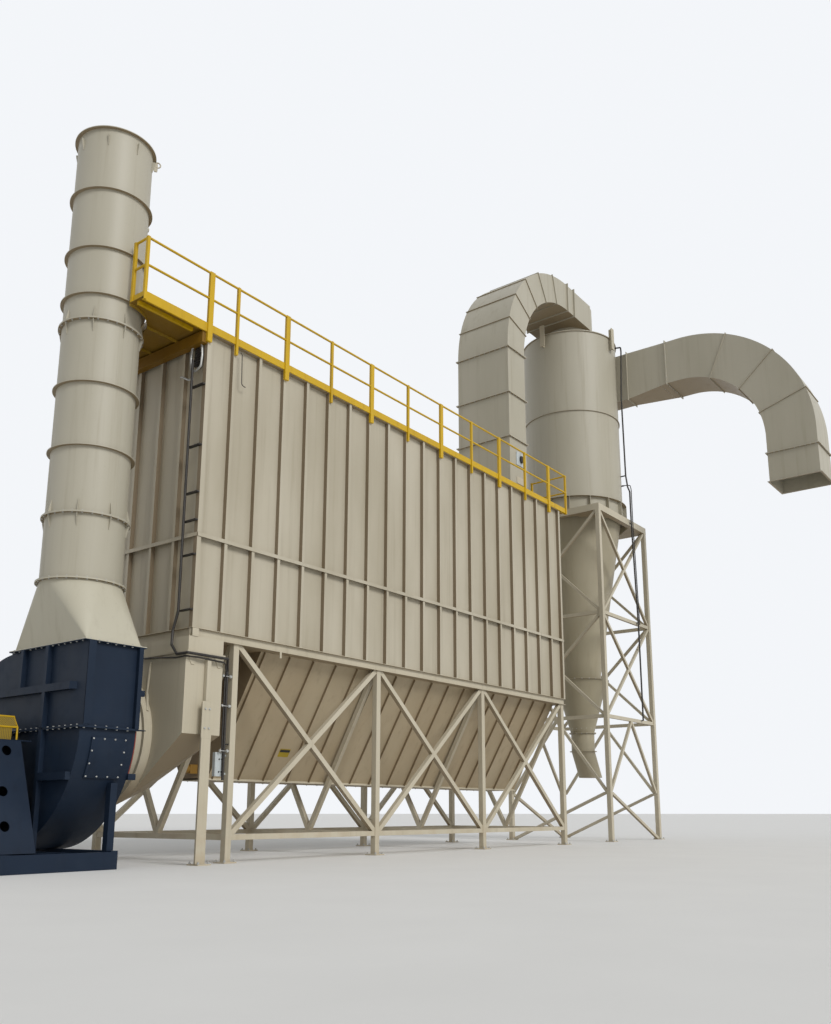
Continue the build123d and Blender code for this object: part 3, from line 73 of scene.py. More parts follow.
class Net:
    # a tree of nodes; node() adds any of them, its settings first and its sockets next
    def __init__(self, tree):
        self.tree = tree

    def node(self, kind, settings=None, sockets=None, output=0):
        added = self.tree.nodes.new(kind)
        for key, value in (settings or {}).items():
            setattr(added, key, value)
        for key, value in (sockets or {}).items():
            self.feed(added.inputs[key], value)
        return Wire(self, added.outputs[output]) if added.outputs else None

    def feed(self, socket, value):
        if isinstance(value, Wire):
            self.tree.links.new(value.socket, socket)
        else:
            socket.default_value = value

    def maths(self, operation, *values):
        return self.node("ShaderNodeMath", {"operation": operation}, dict(enumerate(values)))


class Coat(Net):
    # one material, worked out on the piece's own coordinates
    def __init__(self, name, metallic=0.0, specular=0.5):
        self.material = bpy.data.materials.new(name)
        self.material.use_nodes = True
        super().__init__(self.material.node_tree)
        self.shader = self.tree.nodes["Principled BSDF"]
        self.set("Metallic", metallic)
        self.set("Specular IOR Level", specular)
        self.place = self.node("ShaderNodeTexCoord", output="Object")

    def set(self, name, value):
        self.feed(self.shader.inputs[name], value)

    def axis(self, name):
        return self.node("ShaderNodeSeparateXYZ", sockets={0: self.place}, output=name)

    def facing(self, axis):
        # how far a face looks along an axis, from -1 to 1
        normal = self.node("ShaderNodeTexCoord", output="Normal")
        return self.node("ShaderNodeSeparateXYZ", sockets={0: normal}, output=axis)

    def flank(self, axis):
        # 1 on the sides of ribs, whose normals lie along an axis: where painted shade and grime go
        return self.maths("ABSOLUTE", self.facing(axis)).ramp(0.6, 0.95)

    def underside(self):
        # 1 on faces that look down, 0 on upright ones: the mask for painted shade on undersides
        return (self.facing("Z") * -1.0).ramp(0.25, 0.9)

    def noise(self, scale, stretch=(1, 1, 1), detail=3.0, roughness=0.55):
        # cloud of the given number of blobs a metre, drawn out by stretch
        spot = self.node("ShaderNodeVectorMath", {"operation": "MULTIPLY"},
                         {0: self.place, 1: [scale * s for s in stretch]})
        return self.node("ShaderNodeTexNoise", None,
                         {"Vector": spot, "Scale": 1.0, "Detail": detail, "Roughness": roughness})

    def blend(self, factor, first, second):
        return self.node("ShaderNodeMix", {"data_type": "RGBA"}, {0: factor, 6: first, 7: second}, 2)

    def bump(self, height, strength, distance):
        self.set("Normal", self.node("ShaderNodeBump", None,
                                     {"Strength": strength, "Distance": distance, "Height": height}))


def tone(red, green, blue):
    # a screen colour of 0 to 255 as the linear one that Blender takes
    part = np.array([red, green, blue]) / 255
    linear = np.where(part < 0.04045, part / 12.92, ((part + 0.055) / 1.055) ** 2.4)
    return [*(float(v) for v in linear), 1.0]


def wallPaint(name, look):
    # sheet steel under beige paint: cloudy tone, rain streaks, dust lying low, painted shade on undersides and rib
    # sides, weld and roller waves
    coat = Coat(name, specular=look["specular"])
    cloud = coat.noise(look["clouds"], (1, 1, 0.3), detail=4)
    streak = coat.noise(look["rain"], (1, 1, 0.035), detail=5, roughness=0.65).ramp(0.5, 0.78)
    speck = coat.noise(look["specks"], detail=2).ramp(0.7, 0.78)
    shade = coat.blend(cloud.ramp(0.3, 0.7), look["colour"], look["pale"])
    shade = coat.blend(streak * look["streaks"], shade, look["stain"])
    shade = coat.blend(speck * look["speckle"], shade, look["stain"])
    low = 1 - coat.axis("Z").ramp(look["dustFrom"], look["dustTo"])
    dusty = low * coat.noise(look["drifts"], detail=5).ramp(0.35, 0.75)
    shade = coat.blend(dusty * look["dustDepth"], shade, look["dust"])
    if "pitch" in look:
        # each panel between two ribs is a little paler or darker
        panel = coat.maths("FLOOR", (coat.axis("X") - look["first"]) / look["pitch"])
        chance = coat.node("ShaderNodeTexWhiteNoise", {"noise_dimensions": "1D"}, {"W": panel}, "Value")
        shade = coat.blend(chance * look["panelTint"], shade, look["pale"])
    # painted shade: faces that look down are blended towards a darker, browner tone
    shade = coat.blend(coat.underside() * look["underDepth"], shade, look["under"])
    # rib sides darkened: painted shade on the ribs' flanks, mixed with brown grime
    if "ribSides" in look:
        shade = coat.blend(coat.flank(look["ribSides"]) * look["ribShadeAndGrimeDepth"], shade, look["ribShadeAndGrime"])
    coat.set("Base Color", shade)
    coat.set("Roughness", look["rough"] + 0.16 * cloud + 0.14 * streak + 0.1 * dusty)
    wave = coat.noise(look["buckles"], (1, 1, 0.45), detail=1)
    coat.bump(wave + 0.05 * coat.noise(look["peel"], detail=1), look["waves"], 0.02)
    return coat.material


# clouds, rain, specks, drifts, buckles and peel are in blobs a metre, the dust's levels in metres
# the two darkest tones here are painted shade: one for faces that look down, one for rib sides, where it is mixed
# with grime
beige = {"colour": tone(187, 178, 156), "pale": tone(196, 187, 166), "stain": tone(140, 129, 106),
         "dust": tone(172, 152, 122), "under": tone(134, 114, 84), "ribShadeAndGrime": tone(112, 92, 66),
         "clouds": 0.7, "rain": 7.0, "specks": 38, "drifts": 3.0, "buckles": 1.6, "peel": 160,
         "streaks": 0.26, "speckle": 0.35, "dustDepth": 0.5, "dustFrom": 0.0, "dustTo": 1.4, "panelTint": 0.16,
         "underDepth": 0.8, "ribShadeAndGrimeDepth": 0.75, "waves": 0.25, "rough": 0.42, "specular": 0.4}
smooth = {**beige, "waves": 0.12}
plainBeige = wallPaint("beige_paint", beige)
# the front and rear walls' pale clouds sit well above their colour: partly random tone, partly painted reflection of
# a bright sky
wallSheet = wallPaint("wall_paint", {**beige, "colour": tone(172, 163, 142), "pale": tone(191, 183, 164),
                                     "streaks": 0.38, "waves": 0.4, "ribSides": "X", "first": -0.98, "pitch": 0.6096})
endSheet = wallPaint("end_wall_paint", {**beige, "colour": tone(180, 171, 150), "pale": tone(192, 183, 163),
                                        "streaks": 0.45, "ribSides": "Y"})
hopperSheet = wallPaint("hopper_paint", {**beige, "colour": tone(172, 156, 128), "pale": tone(184, 170, 143),
                                         "streaks": 0.4, "ribSides": "X"})
squareBeige = wallPaint("transition_paint", {**smooth, "colour": tone(186, 180, 160), "pale": tone(192, 187, 169),
                                             "streaks": 0.2})
coneBeige = wallPaint("cone_paint", {**smooth, "colour": tone(158, 149, 125), "pale": tone(168, 159, 137),
                                     "streaks": 0.3})
ductBeige = wallPaint("duct_paint", {**smooth, "colour": tone(173, 167, 149), "pale": tone(181, 175, 158),
                                     "streaks": 0.3, "rough": 0.4})


def gloss(name, look):
    # gloss paint over steel: slow cloud, run marks, dust film and chipped spots
    coat = Coat(name, specular=look["specular"])
    cloud = coat.noise(look["clouds"], detail=4)
    run = coat.noise(look["runs"], (1, 1, 0.06), detail=4).ramp(0.52, 0.8)
    chip = coat.noise(look["chips"], detail=6, roughness=0.7).ramp(0.72, 0.74)
    film = coat.noise(look["smuts"], detail=5).ramp(0.45, 0.8)
    shade = coat.blend(cloud, look["colour"], look["pale"])
    shade = coat.blend(run * look["runDepth"], shade, look["stain"])
    shade = coat.blend(film * look["film"], shade, look["dust"])
    shade = coat.blend(chip * look["chipDepth"], shade, look["under"])
    coat.set("Base Color", shade)
    coat.set("Roughness", look["rough"] + 0.12 * cloud + 0.15 * film + 0.2 * chip)
    wave = coat.noise(look["waves"], detail=1)
    coat.bump(wave + 0.04 * coat.noise(look["peel"], detail=1) - 0.05 * chip, 0.25, 0.02)
    return coat.material


# clouds, runs, smuts, chips, waves and peel are in blobs a metre
enamel = {"clouds": 1.4, "runs": 9.0, "smuts": 4.5, "chips": 34, "waves": 2.2, "peel": 180,
          "runDepth": 0.35, "chipDepth": 0.8, "specular": 0.4}
navyPaint = gloss("navy_paint", {**enamel, "colour": tone(20, 31, 46), "pale": tone(28, 42, 60),
                                 "stain": tone(15, 20, 30), "dust": tone(72, 76, 82), "under": tone(66, 64, 64),
                                 "film": 0.08, "rough": 0.46, "chips": 26, "specular": 0.2})
yellowPaint = gloss("yellow_paint", {**enamel, "colour": tone(196, 156, 6), "pale": tone(208, 170, 20),
                                     "stain": tone(132, 98, 10), "dust": tone(158, 136, 84),
                                     "under": tone(120, 104, 84), "film": 0.16, "rough": 0.34})
# a darker copy of the yellow paint, for the near platform beam: painted shade
shadedYellow = gloss("shaded_yellow", {**enamel, "colour": tone(118, 84, 8), "pale": tone(130, 95, 15),
                                       "stain": tone(84, 58, 12), "dust": tone(120, 96, 50),
                                       "under": tone(96, 78, 50), "film": 0.2, "rough": 0.45})
cautionYellow = gloss("caution_yellow", {**enamel, "colour": tone(150, 128, 24), "pale": tone(166, 142, 36),
                                         "stain": tone(90, 76, 20), "dust": tone(126, 108, 70),
                                         "under": tone(90, 80, 60), "film": 0.3, "rough": 0.5, "chips": 60})
ochrePaint = gloss("ochre_paint", {**enamel, "colour": tone(134, 100, 40), "pale": tone(156, 120, 54),
                                   "stain": tone(84, 62, 34), "dust": tone(140, 118, 86),
                                   "under": tone(92, 84, 74), "film": 0.3, "rough": 0.5, "chips": 30})
boxGrey = gloss("enclosure_grey", {**enamel, "colour": tone(182, 189, 190), "pale": tone(198, 204, 204),
                                   "stain": tone(110, 110, 108), "dust": tone(150, 138, 118),
                                   "under": tone(90, 88, 84), "film": 0.2, "rough": 0.4, "chips": 20})
darkRubber = gloss("dark_rubber", {**enamel, "colour": tone(30, 30, 31), "pale": tone(44, 44, 45),
                                   "stain": tone(22, 22, 22), "dust": tone(110, 102, 90),
                                   "under": tone(60, 58, 55), "film": 0.25, "rough": 0.6, "chips": 40})
sealRed = gloss("seal_red", {**enamel, "colour": tone(122, 46, 34), "pale": tone(142, 60, 46),
                             "stain": tone(84, 34, 28), "dust": tone(128, 104, 88), "under": tone(100, 80, 70),
                             "film": 0.3, "rough": 0.55, "chips": 60})


def metal(name, look):
    # bare or galvanised metal: spangle, smears and fine scratches
    coat = Coat(name, metallic=look["metallic"])
    spangle = coat.node("ShaderNodeTexVoronoi", None, {"Vector": coat.place, "Scale": look["spangle"]}, "Color")
    grey = coat.node("ShaderNodeSeparateColor", sockets={0: spangle})
    smear = coat.noise(look["smears"], (1, 1, 0.3), detail=5)
    shade = coat.blend(grey * look["spangleDepth"], look["colour"], look["pale"])
    shade = coat.blend(smear.ramp(0.5, 0.8) * look["smearDepth"], shade, look["stain"])
    coat.set("Base Color", shade)
    coat.set("Roughness", look["rough"] + 0.2 * smear)
    coat.bump(smear + 0.2 * coat.noise(look["scratches"], detail=1), 0.2, 0.004)
    return coat.material


# smears, scratches and spangle are in blobs a metre
bareMetal = {"smears": 11, "scratches": 220, "spangleDepth": 0.5, "smearDepth": 0.6}
zinc = metal("zinc", {**bareMetal, "colour": tone(176, 176, 172), "pale": tone(208, 208, 204),
                      "stain": tone(120, 112, 102), "metallic": 0.55, "spangle": 90, "rough": 0.34})
turnedSteel = metal("turned_steel", {**bareMetal, "colour": tone(150, 150, 152), "pale": tone(178, 178, 180),
                                     "stain": tone(92, 82, 74), "metallic": 0.85, "spangle": 40, "rough": 0.28})
conduitMetal = metal("conduit_metal", {**bareMetal, "colour": tone(50, 47, 44), "pale": tone(74, 70, 66),
                                       "stain": tone(32, 30, 28), "metallic": 0.4, "spangle": 60, "rough": 0.42})


def lattice(name, look):
    # paint over a raised lattice, whose lines lie where |sin(f (a + b))| or |sin(f (a - b))| is low, with painted
    # shade in the hollows between them
    coat = Coat(name)
    first, second = (coat.axis(axis) for axis in look["axes"])
    slanted = second * look["squat"]
    waves = [coat.maths("ABSOLUTE", coat.maths("SINE", way * look["often"]))
             for way in (first + slanted, first - slanted)]
    gap = coat.maths("MINIMUM", *waves).ramp(*look["edge"])
    wear = coat.noise(look["scuffs"], detail=5).ramp(0.4, 0.75)
    shade = coat.blend(wear * look["wearDepth"], look["colour"], look["worn"])
    # painted shade in the hollows between the raised lines
    shade = coat.blend(gap * look["depth"], shade, look["hollow"])
    # painted shade: faces that look down are blended towards a darker tone
    coat.set("Base Color", coat.blend(coat.underside() * look["underDepth"], shade, look["under"]))
    coat.set("Roughness", 0.42 + 0.2 * wear)
    coat.bump(1 - gap, 0.6, 0.004)
    return coat.material


# often is the waves' turn in radians a metre, edge the band from line to gap
trodden = {"scuffs": 3.2, "wearDepth": 0.4, "underDepth": 0.7}
deckPlate = lattice("deck_plate", {**trodden, "axes": ("X", "Y"), "squat": 1.0, "often": 75.0, "edge": (0.1, 0.22),
                                   "colour": tone(186, 150, 34), "worn": tone(140, 124, 92),
                                   "hollow": tone(110, 92, 40), "under": tone(120, 84, 8), "depth": 0.35})
meshYellow = lattice("guard_mesh", {**trodden, "axes": ("Y", "X"), "squat": 0.6, "often": 200.0, "edge": (0.3, 0.5),
                                    "colour": tone(172, 142, 30), "worn": tone(150, 130, 60),
                                    "hollow": tone(66, 62, 50), "under": tone(150, 118, 10), "depth": 0.8})

# every node takes its slot's finish, and some a finish of their own
slotFinish = {"beige_paint": plainBeige, "frame_steel": plainBeige, "navy_paint": navyPaint,
              "safety_yellow": yellowPaint, "bare_steel": turnedSteel, "dark_conduit": conduitMetal,
              "grey_enclosure": boxGrey}
ownFinish = {wallSheet: ("front_wall", "rear_wall"), endSheet: ("near_end_wall", "far_end_wall"),
             hopperSheet: ("hopper_front_slope", "hopper_rear_slope", "hopper_ends"),
             squareBeige: ("stack_transition",), coneBeige: ("cyclone_cone", "cyclone_discharge"),
             ductBeige: ("stack_lower", "stack_middle", "stack_upper", "crossover_riser", "crossover_elbow",
                         "cyclone_barrel", "cyclone_roof", "cyclone_skirt", "gooseneck_elbow", "gooseneck_tail",
                         "inlet_duct"),
             deckPlate: ("end_platform", "far_ledge_deck"), meshYellow: ("fan_guard",),
             shadedYellow: ("end_platform_beam",), ochrePaint: ("screw_drive",)}
slotOf = {part["node"]: part["material_slot"] for part in frame["record"]["subparts"]}
finishOf = {name: finish for finish, names in ownFinish.items() for name in names}
for name, thing in nodes.items():
    thing.data.materials.clear()
    thing.data.materials.append(finishOf.get(name) or slotFinish[slotOf[name]])
print("nodes painted")


def unit(vectors):
    # each vector divided by its length
    vectors = np.array(vectors, float)
    return vectors / np.linalg.norm(vectors, axis=-1, keepdims=True)


def gridFaces(rows, columns, loop=False):
    # quads between rows of points that run right round; loop joins the last row to the first
    row = np.arange(rows if loop else rows - 1)[:, None]
    step = np.arange(columns)
    turn = (step + 1) % columns
    above = (row + 1) % rows
    return np.stack([row * columns + step, row * columns + turn, above * columns + turn, above * columns + step],
                    -1).reshape(-1, 4)


def capped(rows):
    # rows of points as one closed skin: quads between the rows and a flat face over each end
    count, sides = rows.shape[:2]
    rim = np.arange(sides)[None]
    return rows.reshape(-1, 3), [gridFaces(count, sides), rim[:, ::-1], (count - 1) * sides + rim]


def circle(sides):
    # points round a circle of radius 1: (cos a, sin a)
    angles = np.arange(sides) * 2 * np.pi / sides
    return np.stack([np.cos(angles), np.sin(angles)], -1)


def lathe(profile, sides, loop=False):
    # each profile point (r, z) turned about Z: (r cos a, r sin a, z); loop closes the profile into a hoop
    profile = np.array(profile, float)
    heights = np.broadcast_to(profile[:, None, 1:], (len(profile), sides, 1))
    rows = np.concatenate([profile[:, None, :1] * circle(sides), heights], -1)
    return (rows.reshape(-1, 3), [gridFaces(len(profile), sides, True)]) if loop else capped(rows)


def hoop(radius, thick, wide, sides):
    # a bar bent round Z: profile (R + t cos b, w sin b), turned as a lathe does
    return lathe(circle(6) * (thick, wide) + (radius, 0), sides, True)


def bent(corners, radius, steps=5):
    # a path with each corner q rounded: (1-t)^2 p + 2 t (1-t) q + t^2 s, p and s a radius before and after it
    corners = np.array(corners, float)
    middle = corners[1:-1]
    before = middle - radius * unit(middle - corners[:-2])
    after = middle + radius * unit(corners[2:] - middle)
    t = np.linspace(0, 1, steps)[:, None]
    curve = (1 - t) ** 2 * before[:, None] + 2 * t * (1 - t) * middle[:, None] + t ** 2 * after[:, None]
    return np.concatenate([corners[:1], curve.reshape(-1, 3), corners[-1:]])


def tube(path, radius, sides=10):
    # round bar along a path: p + r (a cos t + b sin t), a and b square to the path
    path = np.array(path, float)
    along = unit(np.gradient(path, axis=0))
    first = unit(np.cross(along, (0.31, 0.52, 0.79)))
    second = np.cross(along, first)
    across = circle(sides)[:, :, None]
    return capped(path[:, None] + radius * (first[:, None] * across[:, 0] + second[:, None] * across[:, 1]))


def plate(outline, thickness, chamfer):
    # flat plate on X and Y with a chamfered edge: its outline at four levels, drawn in at the first and the last
    outline = np.array(outline, float)
    centre = outline.mean(0)
    reach = np.linalg.norm(outline - centre, axis=1, keepdims=True)
    inner = centre + (outline - centre) * (1 - chamfer / reach)
    levels = ((inner, 0), (outline, chamfer), (outline, thickness - chamfer), (inner, thickness))
    return capped(np.stack([np.column_stack([flat, np.full(len(flat), z)]) for flat, z in levels]))


def pad(width, height, power=0.2, sides=40):
    # rounded rectangle: (w/2 |cos a|^p, h/2 |sin a|^p), each with its own sign
    a = (np.arange(sides) + 0.5) * 2 * np.pi / sides
    across = np.stack([np.cos(a), np.sin(a)], -1)
    return np.sign(across) * np.abs(across) ** power * (width / 2, height / 2)


def slab(low, high, chamfer=0.004):
    # straight bar or plate between two corners, its edges chamfered
    low, high = np.array(low, float), np.array(high, float)
    x, y, z = high - low
    points, faces = plate([(0, 0), (x, 0), (x, y), (0, y)], z, min(chamfer, min(x, y, z) / 4))
    return points + low, faces


def spread(shape, places, up, front=(0.31, 0.52, 0.79)):
    # copies of a shape, its Z turned along up and its X as near to front as that allows
    points, faces = shape
    places = np.array(places, float).reshape(-1, 3)
    up = unit(np.broadcast_to(up, places.shape))
    side = unit(np.cross(up, np.broadcast_to(front, places.shape)))
    basis = np.stack([np.cross(side, up), side, up], 1)
    moved = places[:, None] + np.einsum("nj,kji->kni", points, basis)
    shift = np.arange(len(places))[:, None, None] * len(points)
    return moved.reshape(-1, 3), [(block + shift).reshape(-1, block.shape[1]) for block in faces]


def addPiece(name, shapes, finish):
    # one object from several shapes, smooth where its faces meet at less than 35 degrees
    starts = np.cumsum([0] + [len(points) for points, _ in shapes[:-1]])
    faces = [face for (_, blocks), start in zip(shapes, starts) for block in blocks
             for face in (block + start).tolist()]
    mesh = bpy.data.meshes.new(name)
    mesh.from_pydata(np.concatenate([points for points, _ in shapes]).tolist(), [], faces)
    mesh.polygons.foreach_set("use_smooth", np.ones(len(faces), bool))
    mesh.set_sharp_from_angle(angle=math.radians(35))
    mesh.materials.append(finish)
    thing = bpy.data.objects.new(name, mesh)
    bpy.context.scene.collection.objects.link(thing)
    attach(thing, "root")


def hexBolt(size):
    # washer and hexagon head with a chamfered crown, sized by the thread
    return lathe(np.array([(1.05, -0.3), (1.05, 0.16), (0.9, 0.16), (0.9, 0.66), (0.74, 0.82)]) * size, 6)


def anchorNut(size):
    # washer, nut and the stud's end
    return lathe(np.array([(1.15, -0.3), (1.15, 0.15), (0.92, 0.15), (0.92, 0.95), (0.78, 1.08), (0.5, 1.08),
                           (0.5, 1.6), (0.4, 1.72)]) * size, 6)


surfaces = {}


def landing(node, starts, towards):
    # where straight lines from the starts first meet a node; lines that miss are left out
    if node not in surfaces:
        mesh = nodes[node].data
        surfaces[node] = BVHTree.FromPolygons([v.co for v in mesh.vertices], [p.vertices for p in mesh.polygons])
    hits = [surfaces[node].ray_cast(Vector(start), Vector(towards)) for start in np.reshape(starts, (-1, 3)).tolist()]
    return np.array([hit[0] for hit in hits if hit[0]]).reshape(-1, 3)


def level(degrees):
    # level directions at angles from the X axis: (cos a, sin a, 0)
    a = np.radians(degrees)
    return np.stack([np.cos(a), np.sin(a), np.zeros_like(a)], -1)


def circleSpots(centre, radius, height, count, turn=0.0):
    # places round an upright axis, a count to the circle: (x + r cos a, y + r sin a, z)
    return np.array([(*centre, height)]) + radius * level((np.arange(count) + turn) * 360 / count)


def frameSpots(low, high, pitch=0.15):
    # places round a rectangle that is flat along one of the axes, about a pitch apart
    low, high = np.array(low, float), np.array(high, float)
    one, two = np.flatnonzero(high - low)
    spots = []
    for run, still, side in ((one, two, low), (one, two, high), (two, one, low), (two, one, high)):
        count = max(2, round((high[run] - low[run]) / pitch))
        line = np.tile(low, (count, 1))
        line[:, run] = low[run] + (np.arange(count) + 0.5) * (high[run] - low[run]) / count
        line[:, still] = side[still]
        spots.append(line)
    return np.concatenate(spots)


# shared directions, the middles of stack and cyclone, and the ducts' flanges seen from above
upward, downward = (0, 0, 1), (0, 0, -1)
toFront, toRear = (0, -1, 0), (0, 1, 0)
toFan, toCyclone = (-1, 0, 0), (1, 0, 0)
stackAt, cycloneAt = (-2.337, 0.93), (15.62, 1.729)
ducts = {"fan": ((-2.822, -0.072), (-1.828, 1.882)), "riser": ((10.297, 0.854), (11.237, 2.604)),
         "gooseneck": ((16.137, -5.735), (17.467, -4.275))}


def levelFrame(duct, height, pitch=0.15):
    # places round a duct's level flange
    low, high = ducts[duct]
    return frameSpots((*low, height), (*high, height), pitch)


# the split flange's rows of bolts
splitFront = np.array([(-2.75 + 0.18 * i, -0.07, 0) for i in range(5)])
splitSide = np.array([(-2.825, -0.02 + 0.145 * i, 0) for i in range(22)])

# bolts: each row is a node, the starts of the lines that look for its seats, their direction and the thread
flangeBolts = {
    "stack": [(node, circleSpots(stackAt, 0.645, z, 28), way, 0.016) for node, z, way in (
        ("stack_lower", 5.19, upward), ("stack_middle", 5.25, downward), ("stack_middle", 8.39, upward),
        ("stack_upper", 8.45, downward), ("stack_lower", 4.25, downward), ("stack_transition", 4.15, upward))],
    "fan": [("stack_transition", levelFrame("fan", 3.3), downward, 0.016),
            ("fan_scroll_upper", levelFrame("fan", 3.1), upward, 0.016),
            ("fan_scroll_upper", splitFront + (0, 0, 2.05), downward, 0.016),
            ("fan_scroll_upper", splitSide + (0, 0, 2.05), downward, 0.016),
            ("fan_scroll_lower", splitFront + (0, 0, 1.85), upward, 0.016),
            ("fan_scroll_lower", splitSide + (0, 0, 1.85), upward, 0.016),
            ("fan_hatch", [(x, -0.6, z) for z in (1.808, 1.284) for x in np.linspace(-2.565, -2.035, 4)],
             toRear, 0.014),
            ("fan_hatch", [(x, -0.6, z) for z in (1.46, 1.635) for x in (-2.565, -2.035)], toRear, 0.014),
            ("fan_base_frame", [(x, y, 0.4) for x in (-4.8, -2.1) for y in (0.0, 3.46)], downward, 0.02),
            ("fan_shaft", [(x, y, 2.3) for x in (-3.62, -3.55, -3.2, -3.13) for y in (1.54, 1.918)], downward, 0.02),
            ("plenum_neck", [(x, -0.13, 3.1) for x in (-0.95, -0.78, -0.61, -0.44)], upward, 0.012)],
    "cyclone": [("cyclone_barrel", circleSpots(cycloneAt, 1.59, 10.5, 32, 0.5), downward, 0.02),
                ("cyclone_cone", circleSpots(cycloneAt, 0.83, 4.9, 24), downward, 0.016),
                ("cyclone_cone", circleSpots(cycloneAt, 0.835, 4.6, 24), upward, 0.016),
                ("cyclone_cone", circleSpots(cycloneAt, 0.385, 3.3, 16), downward, 0.016),
                ("cyclone_discharge", circleSpots(cycloneAt, 0.385, 3.0, 16), upward, 0.016)],
    "gooseneck": [("gooseneck_elbow", frameSpots((16.137, -1.6, 14.025), (17.467, -1.6, 15.485)), toRear, 0.016),
                  ("inlet_duct", frameSpots((16.137, -1.2, 14.025), (17.467, -1.2, 15.485)), toFront, 0.016),
                  ("inlet_duct", frameSpots((16.137, 0.1, 13.855), (16.807, 0.1, 15.505)), toFront, 0.016),
                  ("gooseneck_elbow", levelFrame("gooseneck", 11.1), downward, 0.016),
                  ("gooseneck_tail", levelFrame("gooseneck", 10.8), upward, 0.016),
                  ("gooseneck_tail", levelFrame("gooseneck", 10.3), downward, 0.016)],
    "riser": [("crossover_riser", levelFrame("riser", z, 0.17), way, 0.016)
              for z, way in ((10.8, upward), (11.05, downward), (12.1, upward), (12.35, downward), (13.5, upward))]
             + [("crossover_elbow", levelFrame("riser", 13.75, 0.17), downward, 0.016),
                ("cyclone_roof", frameSpots((14.9, 0.854, 16.35), (14.9, 2.604, 17.29), 0.17), toFan, 0.016)],
    "trough": [("screw_trough", [(x, y, 1.2) for x in np.arange(0.9, 10.9, 0.31) for y in (1.335, 2.12)],
                upward, 0.012)]}
for group, seats in flangeBolts.items():
    addPiece(group + "_bolts", [spread(hexBolt(thread), landing(node, starts, way), -np.array(way))
                                for node, starts, way, thread in seats], zinc)
print("flange bolts seated")

# nuts on every base plate, four to a plate
anchors = {"plates": [(x, y) for x in (0, 3.7, 7.4, 11.1) for y in (0, 3.458)] + [(-0.655, -0.16), (-0.655, 3.618)]
           + [(x, y) for x in (14.007, 17.217) for y in (0.124, 3.334)], "reach": 0.1, "top": 0.02, "thread": 0.022}
plateMiddles = np.array([(x, y, anchors["top"]) for x, y in anchors["plates"]])
nutCorners = anchors["reach"] * np.array([(-1, -1, 0), (-1, 1, 0), (1, -1, 0), (1, 1, 0)])
addPiece("anchor_nuts", [spread(anchorNut(anchors["thread"]), plateMiddles[:, None] + nutCorners, upward)],
         zinc)

# the plenum legs' lower lengths are wider: flange plates down to the feet
legFlange = {"left": -0.79, "right": -0.605, "bottom": 0.022, "top": 1.93, "gauge": 0.014, "faces": (-0.232, 3.676)}
addPiece("leg_flanges", [slab((legFlange["left"], y, legFlange["bottom"]),
                              (legFlange["right"], y + legFlange["gauge"], legFlange["top"]))
                         for y in legFlange["faces"]], plainBeige)

# bolted splice plates on the same legs, on the faces that look out
splice = {"centre": (-0.7, 2.2), "size": (0.2, 0.58), "gauge": 0.014, "faces": ((-0.219, -1), (3.677, 1)),
          "boltAt": [(-0.742, 2.07), (-0.742, 2.37), (-0.658, 2.07), (-0.658, 2.37)], "thread": 0.02}
spliceShape = plate(pad(*splice["size"], 0.08, 24), splice["gauge"], 0.003)
spliceX, spliceZ = splice["centre"]
splicePlates, spliceBolts = [], []
for y, way in splice["faces"]:
    splicePlates.append(spread(spliceShape, (spliceX, y, spliceZ), (0, way, 0), toCyclone))
    boltSeats = [(x, y + way * splice["gauge"], z) for x, z in splice["boltAt"]]
    spliceBolts.append(spread(hexBolt(splice["thread"]), boltSeats, (0, way, 0)))
addPiece("splice_plates", splicePlates, plainBeige)
addPiece("splice_bolts", spliceBolts, zinc)
print("anchors and splices set")

# gusset plates above and below the stack's joints: a right-angled plate whose long edge lies on the wall
gusset = {"joints": ((5.216, (1, -1)), (8.42, (1, -1)), (11.79, (-1,))), "wall": 0.609, "flange": 0.014, "count": 8,
          "outline": [(0, 0), (0.05, 0), (0.05, 0.03), (0.012, 0.2), (0, 0.2)], "gauge": 0.01}
gussetShape = plate(gusset["outline"], gusset["gauge"], 0.002)
gussetOut = circleSpots((0, 0), 1, 0, gusset["count"])
gussets = []
for joint, sides in gusset["joints"]:
    for side in sides:
        feet = (*stackAt, joint + side * gusset["flange"]) + gusset["wall"] * gussetOut
        across = np.cross(gussetOut, (0, 0, side))
        gussets.append(spread(gussetShape, feet - across * gusset["gauge"] / 2, across, gussetOut))
addPiece("stack_gussets", gussets, ductBeige)

# weld beads: hoops of a centre, radius and height, and upright seams of a centre, radius, angle, bottom and top
weld = {"thick": 0.003, "wide": 0.006,
        "hoops": [(cycloneAt, 1.519, 10.32), (cycloneAt, 1.519, 13.0), (cycloneAt, 0.787855, 5.9),
                  (cycloneAt, 1.039405, 7.4), (cycloneAt, 1.28257, 8.85)],
        "seams": [(stackAt, 0.61, 3.6, 4.25, 5.17), (stackAt, 0.61, 4.9, 5.26, 6.24), (stackAt, 0.61, 3.9, 6.32, 7.3),
                  (stackAt, 0.61, 4.6, 7.4, 8.37), (stackAt, 0.61, 3.7, 8.9, 9.65), (stackAt, 0.61, 4.8, 9.75, 10.7),
                  (cycloneAt, 1.52, 3.9, 10.35, 11.69), (cycloneAt, 1.52, 4.55, 11.71, 13.05),
                  (cycloneAt, 1.52, 4.0, 13.15, 14.44), (cycloneAt, 1.52, 4.8, 14.46, 15.8)]}
beads = [spread(hoop(radius, weld["thick"], weld["wide"], 96), (*centre, z), upward, toCyclone)
         for centre, radius, z in weld["hoops"]]
for centre, radius, a, bottom, top in weld["seams"]:
    spot = (centre[0] + radius * math.cos(a), centre[1] + radius * math.sin(a))
    beads.append(tube(np.linspace((*spot, bottom), (*spot, top), 4), weld["thick"], 6))
addPiece("weld_beads", beads, ductBeige)
print("gussets and welds laid")

